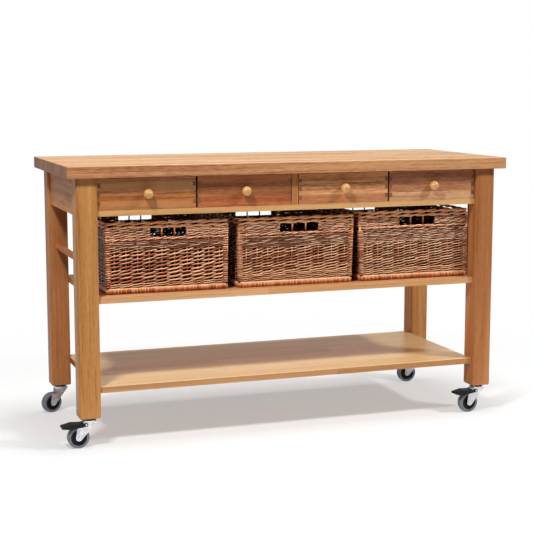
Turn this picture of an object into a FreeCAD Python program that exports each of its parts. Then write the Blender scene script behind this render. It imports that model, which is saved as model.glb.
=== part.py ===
"""Hardwood kitchen cart: four drawers over three willow baskets over a low shelf, on casters.

Millimetres, +Z up, +X to the right along the worktop, -Y to the front. Pieces are worked out
about the middle of the four legs and then set so that the origin is the middle of the floor
rectangle that the cart covers.
"""
import FreeCAD, Part
import math
import os

V = FreeCAD.Vector

# Worktop
HEIGHT = 900.0
WORKTOP_LENGTH = 1524.5
WORKTOP_DEPTH = 600.0
WORKTOP_THICKNESS = 38.0
WORKTOP_EDGE_RADIUS = 2.5

# Legs
LEG_SIDE = 67.5
LEG_CHAMFER = 3.5
LEG_FOOT_CHAMFER = 2.5
LEFT_OVERHANG = 30.0
RIGHT_OVERHANG = 34.5
FRONT_OVERHANG = 19.0
CASTER_HEIGHT = 98.0

# Aprons, drawer rail and divider
FACE_INSET = 16.0
END_APRON_INSET = 9.0
APRON_HEIGHT = 122.0
APRON_THICKNESS = 20.0
RAIL_HEIGHT = 18.0
DIVIDER_THICKNESS = 21.0

# Mortise and tenon joints
TENON_LENGTH = 25.0
TENON_THICKNESS = 10.0
TENON_SHOULDER = 12.0
RAIL_TENON_WIDTH = 30.0
MORTISE_CLEARANCE = 0.2
MORTISE_SPARE_DEPTH = 1.0

# Shelves and their dowels
SHELF_THICKNESS = 20.5
BOTTOM_SHELF_TOP = 196.0
SHELF_EDGE_RADIUS = 1.5
DOWELS_PER_CORNER = 2
DOWEL_RADIUS = 4.0
DOWEL_LENGTH = 50.0
DOWEL_EDGE_DISTANCE = 12.0
DOWEL_SPACING = 22.0
DOWEL_CLEARANCE = 0.05
DOWEL_SPARE_DEPTH = 1.0

# Towel rail between the left legs, dropped below the aprons
TOWEL_RAIL_RADIUS = 11.0
TOWEL_RAIL_DROP = 148.0
TOWEL_RAIL_SOCKET = 20.0
TOWEL_RAIL_CLEARANCE = 0.05

# Drawer runners
RUNNER_LEDGE = 20.0
GUIDE_HEIGHT = 14.0
GUIDE_WIDTH = 12.0
GUIDE_CLEARANCE = 1.2

# Drawers
DRAWER_BACK_CLEARANCE = 5.0
DRAWER_SIDE_GAP = 2.5
DRAWER_PAIR_GAP = 6.0
DRAWER_RISE = 0.5
DRAWER_HEADROOM = 3.5
DRAWER_FRONT_THICKNESS = 18.0
DRAWER_SIDE_THICKNESS = 10.5
DRAWER_BACK_THICKNESS = 12.0
DRAWER_BOTTOM_THICKNESS = 5.0
DRAWER_BOTTOM_LIFT = 8.0
DRAWER_GROOVE_DEPTH = 4.0
DRAWER_GROOVE_CLEARANCE = 0.2
COMB_FINGERS = 7

# Knobs
KNOB_RADIUS = 15.5
KNOB_PROJECTION = 33.0
KNOB_NECK_RADIUS = 7.5
KNOB_BASE_RADIUS = 9.5
KNOB_BASE_HEIGHT = 4.0
KNOB_SPIGOT_RADIUS = 5.0
KNOB_SPIGOT_CLEARANCE = 0.05

# Baskets, and the gaps beside them from the left legs to the right legs
BASKET_HEIGHT = 232.5
BASKET_HEADROOM = 23.5
BASKET_TAPER = 5.5
BASKET_SETBACK = 30.0
BASKET_BACK_GAP = 60.0
BASKET_SIDE_GAPS = (28.0, 26.5, 11.0, 4.5)
BASKET_SEAT_GAP = 0.3
BASKET_CORNER_RADIUS = 8.0
BASKET_WALL = 9.0
BASKET_FLOOR = 11.0
BASKET_BAND_PROUD = 3.0
BASKET_BORDER_HEIGHT = 24.0
BASKET_FOOT_HEIGHT = 21.0
BASKET_WALING_HEIGHT = 12.0
BASKET_WALING_PROUD = 2.0
HANDLE_HEIGHT = 27.0
HANDLE_BACK_HEIGHT = 15.0
HANDLE_STAKES = 2
HANDLE_STAKE_RADIUS = 3.0
HANDLE_STAKE_BURY = 4.0

# Worktop brackets and screws
BRACKET_LEG = 17.0
BRACKET_WIDTH = 22.0
BRACKET_THICKNESS = 2.0
BRACKET_HOLE_DISTANCE = 10.2
BRACKET_END_OFFSET = 120.0
BRACKET_BACK_OFFSETS = (200.0, 520.0)
SCREW_RADIUS = 2.0
SCREW_LENGTH = 14.0
SCREW_HEAD_RADIUS = 3.8
SCREW_HEAD_HEIGHT = 2.2
SCREW_CLEARANCE = 0.1

# Casters
WHEEL_RADIUS = 35.0
TYRE_WIDTH = 24.0
TYRE_THICKNESS = 9.0
TYRE_SHOULDER = 4.0
TYRE_FIT = 0.05
HUB_RIM_WIDTH = 22.0
HUB_RIM_THICKNESS = 7.0
HUB_WEB_WIDTH = 11.0
HUB_BOSS_RADIUS = 9.0
HUB_SIDE_CLEARANCE = 0.4
CASTER_TRAIL = 35.0
AXLE_RADIUS = 4.0
AXLE_HEAD_RADIUS = 6.0
AXLE_HEAD_HEIGHT = 4.0
RUNNING_CLEARANCE = 0.05
FORK_GAP = 28.0
FORK_SHEET = 2.5
FORK_TIP_RADIUS = 10.5
FORK_NECK_FRONT = 22.0
FORK_NECK_BACK = 19.0
FORK_CHEEK_TOP = 68.0
FORK_CHEEK_SETBACK = 5.25
CROWN_RADIUS = 23.0
CROWN_THICKNESS = 6.0
PLATE_RADIUS = 20.0
PLATE_THICKNESS = 7.7
PLATE_GAP = 0.3
STEM_RADIUS = 5.5
STEM_LENGTH = 40.0
STEM_SPARE_DEPTH = 2.0
KINGPIN_RADIUS = 4.0
KINGPIN_FLANGE_RADIUS = 8.0
KINGPIN_FLANGE_THICKNESS = 3.0

# Brake pedals, measured from the caster's swivel axis
BRAKE_REACH = 89.0
BRAKE_WIDTH = 40.0
BRAKE_PIVOT_BACK = 12.0
BRAKE_PIVOT_HEIGHT = 77.0
BRAKE_PIVOT_RADIUS = 3.0
BRAKE_EYE_RADIUS = 6.0
BRAKE_CHEEK_THICKNESS = 3.0
BRAKE_CHEEK_LENGTH = 48.0
BRAKE_CHEEK_BOTTOM = 64.0
BRAKE_SHOE_LENGTH = 16.0
BRAKE_SHOE_WIDTH = 20.0
BRAKE_SHOE_GAP = 0.4
BRAKE_PLATE_LIFT = 2.5
BRAKE_PLATE_THICKNESS = 8.5
BRAKE_NECK_GAP = 2.0
BRAKE_TIP_DROP = 7.0
BRAKE_TIP_THICKNESS = 6.0
BRAKE_TREAD_THICKNESS = 15.0
BRAKE_TREAD_START = 58.0
BRAKE_KEEL_LENGTH = 12.0
BRAKE_KEEL_SLOPE = 7.5
BRAKE_RIDGES = 5
BRAKE_RIDGE_PITCH = 6.0
BRAKE_RIDGE_HEIGHT = 1.4

# Room for error when edges are picked by direction or height
PICK_TOLERANCE = 1e-4

# Each basket: width of its handle holes, how far the front and the back hole lie off the rim's
# middle, how far its foot has crept to the right of its rim, and how far its rim stands above
# the common height
BASKETS = (
    (120.0, 2.5, -2.0, 0.5, 0.0),
    (137.0, 8.5, -6.0, -2.5, 0.0),
    (134.0, 13.0, -19.0, 6.5, 6.5),
)

# Casters: name, side along X, side along Y, swivel angle at rest in degrees, braked or not
CASTERS = (
    ("front_left", -1, -1, 0.0, True),
    ("front_right", 1, -1, 4.0, True),
    ("back_left", -1, 1, 18.0, False),
    ("back_right", 1, 1, -5.0, False),
)

# Places worked out from the sizes above
TOP_UNDER = HEIGHT - WORKTOP_THICKNESS
LEG_OUT_X = (WORKTOP_LENGTH - LEFT_OVERHANG - RIGHT_OVERHANG) / 2
LEG_IN_X = LEG_OUT_X - LEG_SIDE
LEG_X = LEG_OUT_X - LEG_SIDE / 2
LEG_OUT_Y = WORKTOP_DEPTH / 2 - FRONT_OVERHANG
LEG_IN_Y = LEG_OUT_Y - LEG_SIDE
LEG_Y = LEG_OUT_Y - LEG_SIDE / 2
FACE_Y = LEG_OUT_Y - FACE_INSET
BACK_APRON_IN_Y = FACE_Y - APRON_THICKNESS
END_APRON_OUT_X = LEG_OUT_X - END_APRON_INSET
END_APRON_IN_X = END_APRON_OUT_X - APRON_THICKNESS
APRON_BOTTOM = TOP_UNDER - APRON_HEIGHT
RAIL_TOP = APRON_BOTTOM + RAIL_HEIGHT
DIVIDER_X = DIVIDER_THICKNESS / 2
PAIR_X = (LEG_IN_X + DIVIDER_X) / 2
DRAWER_BOTTOM_Z = RAIL_TOP + DRAWER_RISE
DRAWER_TOP_Z = TOP_UNDER - DRAWER_HEADROOM
DRAWER_BACK_Y = BACK_APRON_IN_Y - BRACKET_LEG - DRAWER_BACK_CLEARANCE
TOWEL_RAIL_Z = APRON_BOTTOM - TOWEL_RAIL_DROP
BASKET_COUNT = len(BASKETS)
BASKET_WIDTH = (2 * LEG_IN_X - sum(BASKET_SIDE_GAPS)) / BASKET_COUNT
BASKET_DEPTH = 2 * FACE_Y - BASKET_SETBACK - BASKET_BACK_GAP
BASKET_FRONT_Y = -FACE_Y + BASKET_SETBACK
BASKET_TOP_Z = APRON_BOTTOM - BASKET_HEADROOM
BASKET_BOTTOM_Z = BASKET_TOP_Z - BASKET_HEIGHT
BASKET_SHELF_TOP = BASKET_BOTTOM_Z - BASKET_SEAT_GAP
CROWN_TOP = CASTER_HEIGHT - PLATE_THICKNESS - PLATE_GAP
CROWN_BOTTOM = CROWN_TOP - CROWN_THICKNESS
HUB_RADIUS = WHEEL_RADIUS - TYRE_THICKNESS
FORK_OUT = FORK_GAP / 2 + FORK_SHEET

# The worktop's ends, the braked left caster that reaches past it, and the floor rectangle's middle
WORKTOP_LEFT = LEG_OUT_X + LEFT_OVERHANG
WORKTOP_RIGHT = LEG_OUT_X + RIGHT_OVERHANG
LEFT_REACH = max(LEG_X + BRAKE_REACH, WORKTOP_LEFT)
DATUM = V((LEFT_REACH - WORKTOP_RIGHT) / 2, 0, 0)


def block(x0, x1, y0, y1, z0, z1):
    """Box between two corners, given as pairs along each axis in either order."""
    low = V(min(x0, x1), min(y0, y1), min(z0, z1))
    return Part.makeBox(abs(x1 - x0), abs(y1 - y0), abs(z1 - z0), low)


def rod(radius, length, base, direction):
    """Cylinder from a base point along a direction."""
    return Part.makeCylinder(radius, length, base, direction)


def joined(first, *others):
    """One solid made of pieces that meet."""
    return first.fuse(list(others)).removeSplitter()


def drilled(solid, tools):
    """The solid with every tool cut away."""
    return solid.cut(tools) if tools else solid


def edges_along(solid, axis):
    """Straight edges of a solid that run along the unit vector axis."""
    found = []
    for edge in solid.Edges:
        if isinstance(edge.Curve, Part.Line) and edge.Curve.Direction.cross(axis).Length < PICK_TOLERANCE:
            found.append(edge)
    return found


def edges_at_height(solid, z):
    """Edges of a solid that lie wholly at one height."""
    found = []
    for edge in solid.Edges:
        box = edge.BoundBox
        if max(abs(box.ZMin - z), abs(box.ZMax - z)) < PICK_TOLERANCE:
            found.append(edge)
    return found


def save(name, shapes):
    """Writes the solids of one node, set about the origin."""
    placed = []
    for shape in shapes:
        copy = shape.copy()
        copy.translate(DATUM)
        placed.append(copy)
    whole = placed[0] if len(placed) == 1 else Part.makeCompound(placed)
    whole.exportStep(os.path.join("parts", name + ".step"))


def end_apron_tenon(sx, sy, grow=0.0, deeper=0.0):
    """Tenon of an end apron in the leg at side sx, sy, or its mortise when grown."""
    x = sx * (END_APRON_OUT_X + END_APRON_IN_X) / 2
    half = TENON_THICKNESS / 2 + grow
    low, high = APRON_BOTTOM + TENON_SHOULDER - grow, TOP_UNDER - TENON_SHOULDER + grow
    reach = LEG_IN_Y + TENON_LENGTH + deeper
    return block(x - half, x + half, sy * LEG_IN_Y, sy * reach, low, high)


def back_apron_tenon(sx, grow=0.0, deeper=0.0):
    """Tenon of the back apron in a back leg, or its mortise when grown."""
    y = FACE_Y - APRON_THICKNESS / 2
    half = TENON_THICKNESS / 2 + grow
    low, high = APRON_BOTTOM + TENON_SHOULDER - grow, TOP_UNDER - TENON_SHOULDER + grow
    reach = LEG_IN_X + TENON_LENGTH + deeper
    return block(sx * LEG_IN_X, sx * reach, y - half, y + half, low, high)


def rail_tenon(sx, grow=0.0, deeper=0.0):
    """Tenon of the drawer rail in a front leg, or its mortise when grown."""
    y = -(FACE_Y + LEG_IN_Y) / 2
    z = (APRON_BOTTOM + RAIL_TOP) / 2
    width, half = RAIL_TENON_WIDTH / 2 + grow, TENON_THICKNESS / 2 + grow
    reach = LEG_IN_X + TENON_LENGTH + deeper
    return block(sx * LEG_IN_X, sx * reach, y - width, y + width, z - half, z + half)


def shelf_dowels(top, sx, sy, grow=0.0, deeper=0.0):
    """The dowels of one shelf corner, or their holes when grown."""
    z = top - SHELF_THICKNESS / 2
    length = DOWEL_LENGTH + 2 * deeper
    found = []
    for step in range(DOWELS_PER_CORNER):
        y = FACE_Y - DOWEL_EDGE_DISTANCE - step * DOWEL_SPACING
        base = V(sx * LEG_IN_X - sx * length / 2, sy * y, z)
        found.append(rod(DOWEL_RADIUS + grow, length, base, V(sx, 0, 0)))
    return found


def towel_rail(grow=0.0, deeper=0.0):
    """The towel rail between the left legs, or its sockets when grown."""
    reach = LEG_IN_Y + TOWEL_RAIL_SOCKET + deeper
    base = V(-LEG_X, -reach, TOWEL_RAIL_Z)
    return rod(TOWEL_RAIL_RADIUS + grow, 2 * reach, base, V(0, 1, 0))


def bracket_places():
    """Foot of each worktop bracket on its apron, and the direction away from the apron."""
    found = []
    for sx in (-1, 1):
        for sy in (-1, 1):
            found.append((V(sx * END_APRON_IN_X, sy * BRACKET_END_OFFSET, TOP_UNDER), V(-sx, 0, 0)))
        for offset in BRACKET_BACK_OFFSETS:
            found.append((V(sx * offset, BACK_APRON_IN_Y, TOP_UNDER), V(0, -1, 0)))
    return found


def bracket_screws(grow=0.0):
    """Two screws for each bracket, up into the worktop and out into the apron, or their holes."""
    found = []
    for foot, away in bracket_places():
        up = V(0, 0, 1)
        seats = (
            (foot + away * BRACKET_HOLE_DISTANCE - up * BRACKET_THICKNESS, up),
            (foot + away * BRACKET_THICKNESS - up * BRACKET_HOLE_DISTANCE, away * -1),
        )
        for seat, drive in seats:
            shank = rod(SCREW_RADIUS + grow, SCREW_LENGTH + grow, seat, drive)
            if grow:
                found.append(shank)
            else:
                head = rod(SCREW_HEAD_RADIUS, SCREW_HEAD_HEIGHT, seat, drive * -1)
                found.append(joined(shank, head))
    return found


def worktop_brackets():
    """Steel angles between the aprons and the worktop."""
    holes = bracket_screws(SCREW_CLEARANCE)
    found = []
    for foot, away in bracket_places():
        along = away.cross(V(0, 0, 1))
        side = along * (BRACKET_WIDTH / 2)
        flat = foot + away * BRACKET_LEG - V(0, 0, BRACKET_THICKNESS)
        upright = foot + away * BRACKET_THICKNESS - V(0, 0, BRACKET_LEG)
        legs = []
        for corner in (flat, upright):
            low, high = foot - side, corner + side
            legs.append(block(low.x, high.x, low.y, high.y, low.z, high.z))
        found.append(drilled(joined(*legs), holes))
    return found


def worktop():
    """Solid hardwood top with softened edges and the screw holes of its brackets."""
    half_y = WORKTOP_DEPTH / 2
    slab = block(-WORKTOP_LEFT, WORKTOP_RIGHT, -half_y, half_y, TOP_UNDER, HEIGHT)
    slab = slab.makeFillet(WORKTOP_EDGE_RADIUS, slab.Edges)
    return drilled(slab, bracket_screws(SCREW_CLEARANCE))


def leg(sx, sy):
    """Square leg with chamfered arrises and all the sockets of what it carries."""
    post = block(sx * LEG_IN_X, sx * LEG_OUT_X, sy * LEG_IN_Y, sy * LEG_OUT_Y, CASTER_HEIGHT, TOP_UNDER)
    post = post.makeChamfer(LEG_CHAMFER, edges_along(post, V(0, 0, 1)))
    post = post.makeChamfer(LEG_FOOT_CHAMFER, edges_at_height(post, CASTER_HEIGHT))
    tools = [end_apron_tenon(sx, sy, MORTISE_CLEARANCE, MORTISE_SPARE_DEPTH)]
    cross_tenon = back_apron_tenon if sy > 0 else rail_tenon
    tools.append(cross_tenon(sx, MORTISE_CLEARANCE, MORTISE_SPARE_DEPTH))
    for top in (BASKET_SHELF_TOP, BOTTOM_SHELF_TOP):
        tools.extend(shelf_dowels(top, sx, sy, DOWEL_CLEARANCE, DOWEL_SPARE_DEPTH))
    if sx < 0:
        tools.append(towel_rail(TOWEL_RAIL_CLEARANCE, TOWEL_RAIL_CLEARANCE))
    foot = V(sx * LEG_X, sy * LEG_Y, CASTER_HEIGHT)
    tools.append(rod(STEM_RADIUS + RUNNING_CLEARANCE, STEM_LENGTH + STEM_SPARE_DEPTH, foot, V(0, 0, 1)))
    return drilled(post, tools)


def end_apron(sx):
    """Board between the two legs of one end."""
    board = block(sx * END_APRON_IN_X, sx * END_APRON_OUT_X, -LEG_IN_Y, LEG_IN_Y, APRON_BOTTOM, TOP_UNDER)
    board = joined(board, end_apron_tenon(sx, -1), end_apron_tenon(sx, 1))
    return drilled(board, bracket_screws(SCREW_CLEARANCE))


def back_apron():
    """Board between the back legs."""
    board = block(-LEG_IN_X, LEG_IN_X, BACK_APRON_IN_Y, FACE_Y, APRON_BOTTOM, TOP_UNDER)
    board = joined(board, back_apron_tenon(-1), back_apron_tenon(1))
    return drilled(board, bracket_screws(SCREW_CLEARANCE))


def drawer_rail():
    """Thin rail that closes the drawer openings below."""
    rail = block(-LEG_IN_X, LEG_IN_X, -FACE_Y, -LEG_IN_Y, APRON_BOTTOM, RAIL_TOP)
    return joined(rail, rail_tenon(-1), rail_tenon(1))


def drawer_divider():
    """Upright panel between the two pairs of drawers."""
    return block(-DIVIDER_X, DIVIDER_X, -FACE_Y, BACK_APRON_IN_Y, RAIL_TOP, TOP_UNDER)


def runner(x0, x1, y1=BACK_APRON_IN_Y):
    """Flat runner behind the drawer rail, between two places along X."""
    return block(x0, x1, -LEG_IN_Y, y1, APRON_BOTTOM, RAIL_TOP)


def drawer_runners():
    """Runners under the drawer sides, with a guide strip wherever a drawer has no divider."""
    found = [runner(-DIVIDER_X - RUNNER_LEDGE, DIVIDER_X + RUNNER_LEDGE)]
    guide_top = RAIL_TOP + GUIDE_HEIGHT
    guide_half = DRAWER_PAIR_GAP / 2 - GUIDE_CLEARANCE
    pair_half = DRAWER_PAIR_GAP / 2 + RUNNER_LEDGE
    for sx in (-1, 1):
        x = sx * PAIR_X
        strip = block(x - guide_half, x + guide_half, -LEG_IN_Y, BACK_APRON_IN_Y, RAIL_TOP, guide_top)
        found.append(joined(runner(x - pair_half, x + pair_half), strip))
        ledge = runner(sx * (LEG_IN_X - RUNNER_LEDGE), sx * LEG_IN_X)
        bed = runner(sx * LEG_IN_X, sx * END_APRON_IN_X, LEG_IN_Y)
        guide_out = sx * (LEG_IN_X + GUIDE_WIDTH)
        strip = block(sx * LEG_IN_X, guide_out, -LEG_IN_Y, LEG_IN_Y, RAIL_TOP, guide_top)
        found.append(joined(ledge, bed, strip))
    return found


def shelf(top):
    """Board between the legs, dowelled to their inner faces."""
    board = block(-LEG_IN_X, LEG_IN_X, -FACE_Y, FACE_Y, top - SHELF_THICKNESS, top)
    board = board.makeFillet(SHELF_EDGE_RADIUS, edges_along(board, V(1, 0, 0)))
    tools = []
    for sx in (-1, 1):
        for sy in (-1, 1):
            tools.extend(shelf_dowels(top, sx, sy, DOWEL_CLEARANCE, DOWEL_SPARE_DEPTH))
    return drilled(board, tools)


def all_shelf_dowels():
    """The dowels of both shelves."""
    found = []
    for top in (BASKET_SHELF_TOP, BOTTOM_SHELF_TOP):
        for sx in (-1, 1):
            for sy in (-1, 1):
                found.extend(shelf_dowels(top, sx, sy))
    return found


def drawer_spans():
    """Left and right face of each drawer, from the left."""
    outer = (LEG_IN_X - DRAWER_SIDE_GAP, PAIR_X + DRAWER_PAIR_GAP / 2)
    inner = (PAIR_X - DRAWER_PAIR_GAP / 2, DIVIDER_X + DRAWER_SIDE_GAP)
    left = [(-far, -near) for far, near in (outer, inner)]
    right = [(near, far) for far, near in (inner, outer)]
    return left + right


def comb_slots(x0, x1, y0, y1):
    """Every second finger of a comb joint, over the drawer's height."""
    pitch = (DRAWER_TOP_Z - DRAWER_BOTTOM_Z) / COMB_FINGERS
    found = []
    for finger in range(1, COMB_FINGERS, 2):
        low = DRAWER_BOTTOM_Z + finger * pitch
        found.append(block(x0, x1, y0, y1, low, low + pitch))
    return found


def drawer_bottom(x0, x1, grow=0.0):
    """Thin panel held in grooves all round, or the grooves when grown."""
    inset = DRAWER_SIDE_THICKNESS - DRAWER_GROOVE_DEPTH - grow
    y0 = -FACE_Y + DRAWER_FRONT_THICKNESS - DRAWER_GROOVE_DEPTH - grow
    y1 = DRAWER_BACK_Y - DRAWER_BACK_THICKNESS + DRAWER_GROOVE_DEPTH + grow
    low = DRAWER_BOTTOM_Z + DRAWER_BOTTOM_LIFT
    return block(x0 + inset, x1 - inset, y0, y1, low - grow, low + DRAWER_BOTTOM_THICKNESS + grow)


def drawer_sides(x0, x1):
    """The two sides, with fingers through the front and the back."""
    front_in = -FACE_Y + DRAWER_FRONT_THICKNESS
    back_in = DRAWER_BACK_Y - DRAWER_BACK_THICKNESS
    groove = drawer_bottom(x0, x1, DRAWER_GROOVE_CLEARANCE)
    found = []
    for near, far in ((x0, x0 + DRAWER_SIDE_THICKNESS), (x1 - DRAWER_SIDE_THICKNESS, x1)):
        board = block(near, far, front_in, back_in, DRAWER_BOTTOM_Z, DRAWER_TOP_Z)
        fingers = comb_slots(near, far, -FACE_Y, front_in) + comb_slots(near, far, back_in, DRAWER_BACK_Y)
        found.append(drilled(joined(board, *fingers), [groove]))
    return found


def drawer_end(x0, x1, y0, y1):
    """Front or back board, notched at both ends for the fingers of the sides."""
    board = block(x0, x1, y0, y1, DRAWER_BOTTOM_Z, DRAWER_TOP_Z)
    tools = comb_slots(x0, x0 + DRAWER_SIDE_THICKNESS, y0, y1)
    tools += comb_slots(x1 - DRAWER_SIDE_THICKNESS, x1, y0, y1)
    tools.append(drawer_bottom(x0, x1, DRAWER_GROOVE_CLEARANCE))
    return drilled(board, tools)


def knob_seat(x0, x1):
    """Middle of a drawer's face, where its knob stands."""
    return V((x0 + x1) / 2, -FACE_Y, (DRAWER_BOTTOM_Z + DRAWER_TOP_Z) / 2)


def drawer_front(x0, x1):
    """Front board with the hole of its knob."""
    board = drawer_end(x0, x1, -FACE_Y, -FACE_Y + DRAWER_FRONT_THICKNESS)
    hole = KNOB_SPIGOT_RADIUS + KNOB_SPIGOT_CLEARANCE
    return drilled(board, [rod(hole, DRAWER_FRONT_THICKNESS, knob_seat(x0, x1), V(0, 1, 0))])


def knob(x0, x1):
    """Turned ball knob with a flared base and a spigot through the drawer front."""
    seat = knob_seat(x0, x1)
    out = V(0, -1, 0)
    ball_centre = KNOB_PROJECTION - KNOB_RADIUS
    base = Part.makeCone(KNOB_BASE_RADIUS, KNOB_NECK_RADIUS, KNOB_BASE_HEIGHT, seat, out)
    neck = rod(KNOB_NECK_RADIUS, ball_centre, seat, out)
    ball = Part.makeSphere(KNOB_RADIUS, seat + out * ball_centre)
    spigot = rod(KNOB_SPIGOT_RADIUS, DRAWER_FRONT_THICKNESS, seat, out * -1)
    return joined(ball, neck, base, spigot)


class Basket:
    """Open willow basket, at its place along X and with its own sizes."""

    def __init__(self, x, hole_width, front_shift, back_shift, foot_shift, rim_rise):
        """Sets the rim, and the side along Y, middle along X and lower edge of each handle hole."""
        self.x = x
        self.y = BASKET_FRONT_Y + BASKET_DEPTH / 2
        self.hole_width = hole_width
        self.foot_shift = foot_shift
        self.top = BASKET_TOP_Z + rim_rise
        self.hole_top = self.top - BASKET_BORDER_HEIGHT
        self.holes = (
            (-1, x + front_shift, self.hole_top - HANDLE_HEIGHT),
            (1, x + back_shift, self.hole_top - HANDLE_BACK_HEIGHT),
        )

    def drop(self, z):
        """How far a height lies below the rim, as a share of the basket's height."""
        return (self.top - z) / (self.top - BASKET_BOTTOM_Z)

    def lean(self, z):
        """How far the walls have leaned in at a height, from nothing at the rim."""
        return BASKET_TAPER * self.drop(z)

    def outline(self, inset, z):
        """Closed outline with round corners at one height, drawn in by inset."""
        drawn = inset + self.lean(z)
        middle_x = self.x + self.foot_shift * self.drop(z)
        radius = BASKET_CORNER_RADIUS
        flat_x, flat_y = BASKET_WIDTH / 2 - drawn - radius, BASKET_DEPTH / 2 - drawn - radius
        arcs = []
        for quarter, (sx, sy) in enumerate(((1, -1), (1, 1), (-1, 1), (-1, -1))):
            centre = V(middle_x + sx * flat_x, self.y + sy * flat_y, z)
            arcs.append(Part.makeCircle(radius, centre, V(0, 0, 1), 90 * quarter - 90, 90 * quarter))
        edges = []
        for arc, following in zip(arcs, arcs[1:] + arcs[:1]):
            edges += [arc, Part.makeLine(arc.lastVertex().Point, following.firstVertex().Point)]
        return Part.Wire(edges)

    def layer(self, inset, z0, z1):
        """Solid between two heights, drawn in by inset."""
        return Part.makeLoft([self.outline(inset, z) for z in (z0, z1)], True, True)

    def stakes(self, side, middle, low):
        """Upright rods that stand in one handle hole."""
        foot_z, head_z = low - HANDLE_STAKE_BURY, self.hole_top + HANDLE_STAKE_BURY
        wall_y = BASKET_DEPTH / 2 - self.lean(self.hole_top) - BASKET_BAND_PROUD - BASKET_WALL / 2
        pitch = self.hole_width / (HANDLE_STAKES + 1)
        found = []
        for step in range(1, HANDLE_STAKES + 1):
            foot = V(middle - self.hole_width / 2 + step * pitch, self.y + side * wall_y, foot_z)
            found.append(rod(HANDLE_STAKE_RADIUS, head_z - foot_z, foot, V(0, 0, 1)))
        return found

    def solid(self):
        """Leaning walls, plaited border, waling ridge, foot band, floor and two handle holes."""
        low, waling_top = BASKET_BOTTOM_Z, self.hole_top - HANDLE_HEIGHT
        waling_inset = BASKET_BAND_PROUD - BASKET_WALING_PROUD
        shell = joined(
            self.layer(BASKET_BAND_PROUD, low, self.top),
            self.layer(0, self.hole_top, self.top),
            self.layer(0, low, low + BASKET_FOOT_HEIGHT),
            self.layer(waling_inset, waling_top - BASKET_WALING_HEIGHT, waling_top),
        )
        tools = [self.layer(BASKET_BAND_PROUD + BASKET_WALL, low + BASKET_FLOOR, self.top)]
        stakes = []
        half = self.hole_width / 2
        for side, middle, hole_low in self.holes:
            through_y = self.y + side * BASKET_DEPTH
            tools.append(block(middle - half, middle + half, self.y, through_y, hole_low, self.hole_top))
            stakes += self.stakes(side, middle, hole_low)
        return joined(drilled(shell, tools), *stakes)


def baskets():
    """The baskets in their places, from the left."""
    left = -LEG_IN_X
    found = []
    for gap, own_sizes in zip(BASKET_SIDE_GAPS, BASKETS):
        left += gap
        found.append(Basket(left + BASKET_WIDTH / 2, *own_sizes))
        left += BASKET_WIDTH
    return found


def side_profile(points, y0, y1):
    """Prism across the caster, from a closed outline of (x, z) points."""
    outline = [V(x, y0, z) for x, z in points]
    face = Part.Face(Part.makePolygon(outline + outline[:1]))
    return face.extrude(V(0, y1 - y0, 0))


def turned(points):
    """Wheel piece turned about the axle, from a closed outline of (radius, y) points."""
    outline = [V(-CASTER_TRAIL + radius, y, WHEEL_RADIUS) for radius, y in points]
    face = Part.Face(Part.makePolygon(outline + outline[:1]))
    return face.revolve(V(-CASTER_TRAIL, 0, WHEEL_RADIUS), V(0, 1, 0), 360)


def across(radius, half, x, z):
    """Rod across the caster, from -half to half along Y."""
    return rod(radius, 2 * half, V(x, -half, z), V(0, 1, 0))


def fork_side(y0, y1):
    """Side sheet of a fork, which tapers from the crown to a round tip at the axle."""
    tip = V(-CASTER_TRAIL, 0, WHEEL_RADIUS)
    slope = V(FORK_NECK_FRONT, 0, CROWN_BOTTOM) - tip
    turn = math.atan2(slope.z, slope.x) - math.acos(FORK_TIP_RADIUS / slope.Length)
    touch = (tip.x + FORK_TIP_RADIUS * math.cos(turn), tip.z + FORK_TIP_RADIUS * math.sin(turn))
    points = [
        (FORK_NECK_FRONT, CROWN_BOTTOM),
        touch,
        (tip.x, tip.z),
        (tip.x - FORK_TIP_RADIUS, tip.z),
        (tip.x - FORK_CHEEK_SETBACK, FORK_CHEEK_TOP),
        (-FORK_NECK_BACK, FORK_CHEEK_TOP),
        (-FORK_NECK_BACK, CROWN_BOTTOM),
    ]
    sheet = side_profile(points, y0, y1)
    eye = rod(FORK_TIP_RADIUS, y1 - y0, V(tip.x, y0, tip.z), V(0, 1, 0))
    return joined(sheet, eye)


def fork(braked):
    """Zinc fork: round crown on the kingpin, two side sheets and, if braked, two pedal studs."""
    crown = rod(CROWN_RADIUS, CROWN_THICKNESS, V(0, 0, CROWN_BOTTOM), V(0, 0, 1))
    bridge_x = (-FORK_NECK_BACK, FORK_NECK_FRONT)
    bridge = block(*bridge_x, -FORK_OUT, FORK_OUT, CROWN_BOTTOM, CROWN_BOTTOM + FORK_SHEET)
    sides = [fork_side(-FORK_OUT, -FORK_GAP / 2), fork_side(FORK_GAP / 2, FORK_OUT)]
    if braked:
        stud_end = BRAKE_WIDTH / 2 + RUNNING_CLEARANCE
        for y0, y1 in ((-stud_end, -FORK_GAP / 2), (FORK_GAP / 2, stud_end)):
            seat = V(-BRAKE_PIVOT_BACK, y0, BRAKE_PIVOT_HEIGHT)
            sides.append(rod(BRAKE_PIVOT_RADIUS, y1 - y0, seat, V(0, 1, 0)))
    kingpin_hole = rod(KINGPIN_RADIUS + RUNNING_CLEARANCE, CASTER_HEIGHT, V(0, 0, 0), V(0, 0, 1))
    axle_hole = across(AXLE_RADIUS + RUNNING_CLEARANCE, FORK_OUT, -CASTER_TRAIL, WHEEL_RADIUS)
    return drilled(joined(crown, bridge, *sides), [kingpin_hole, axle_hole])


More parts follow.
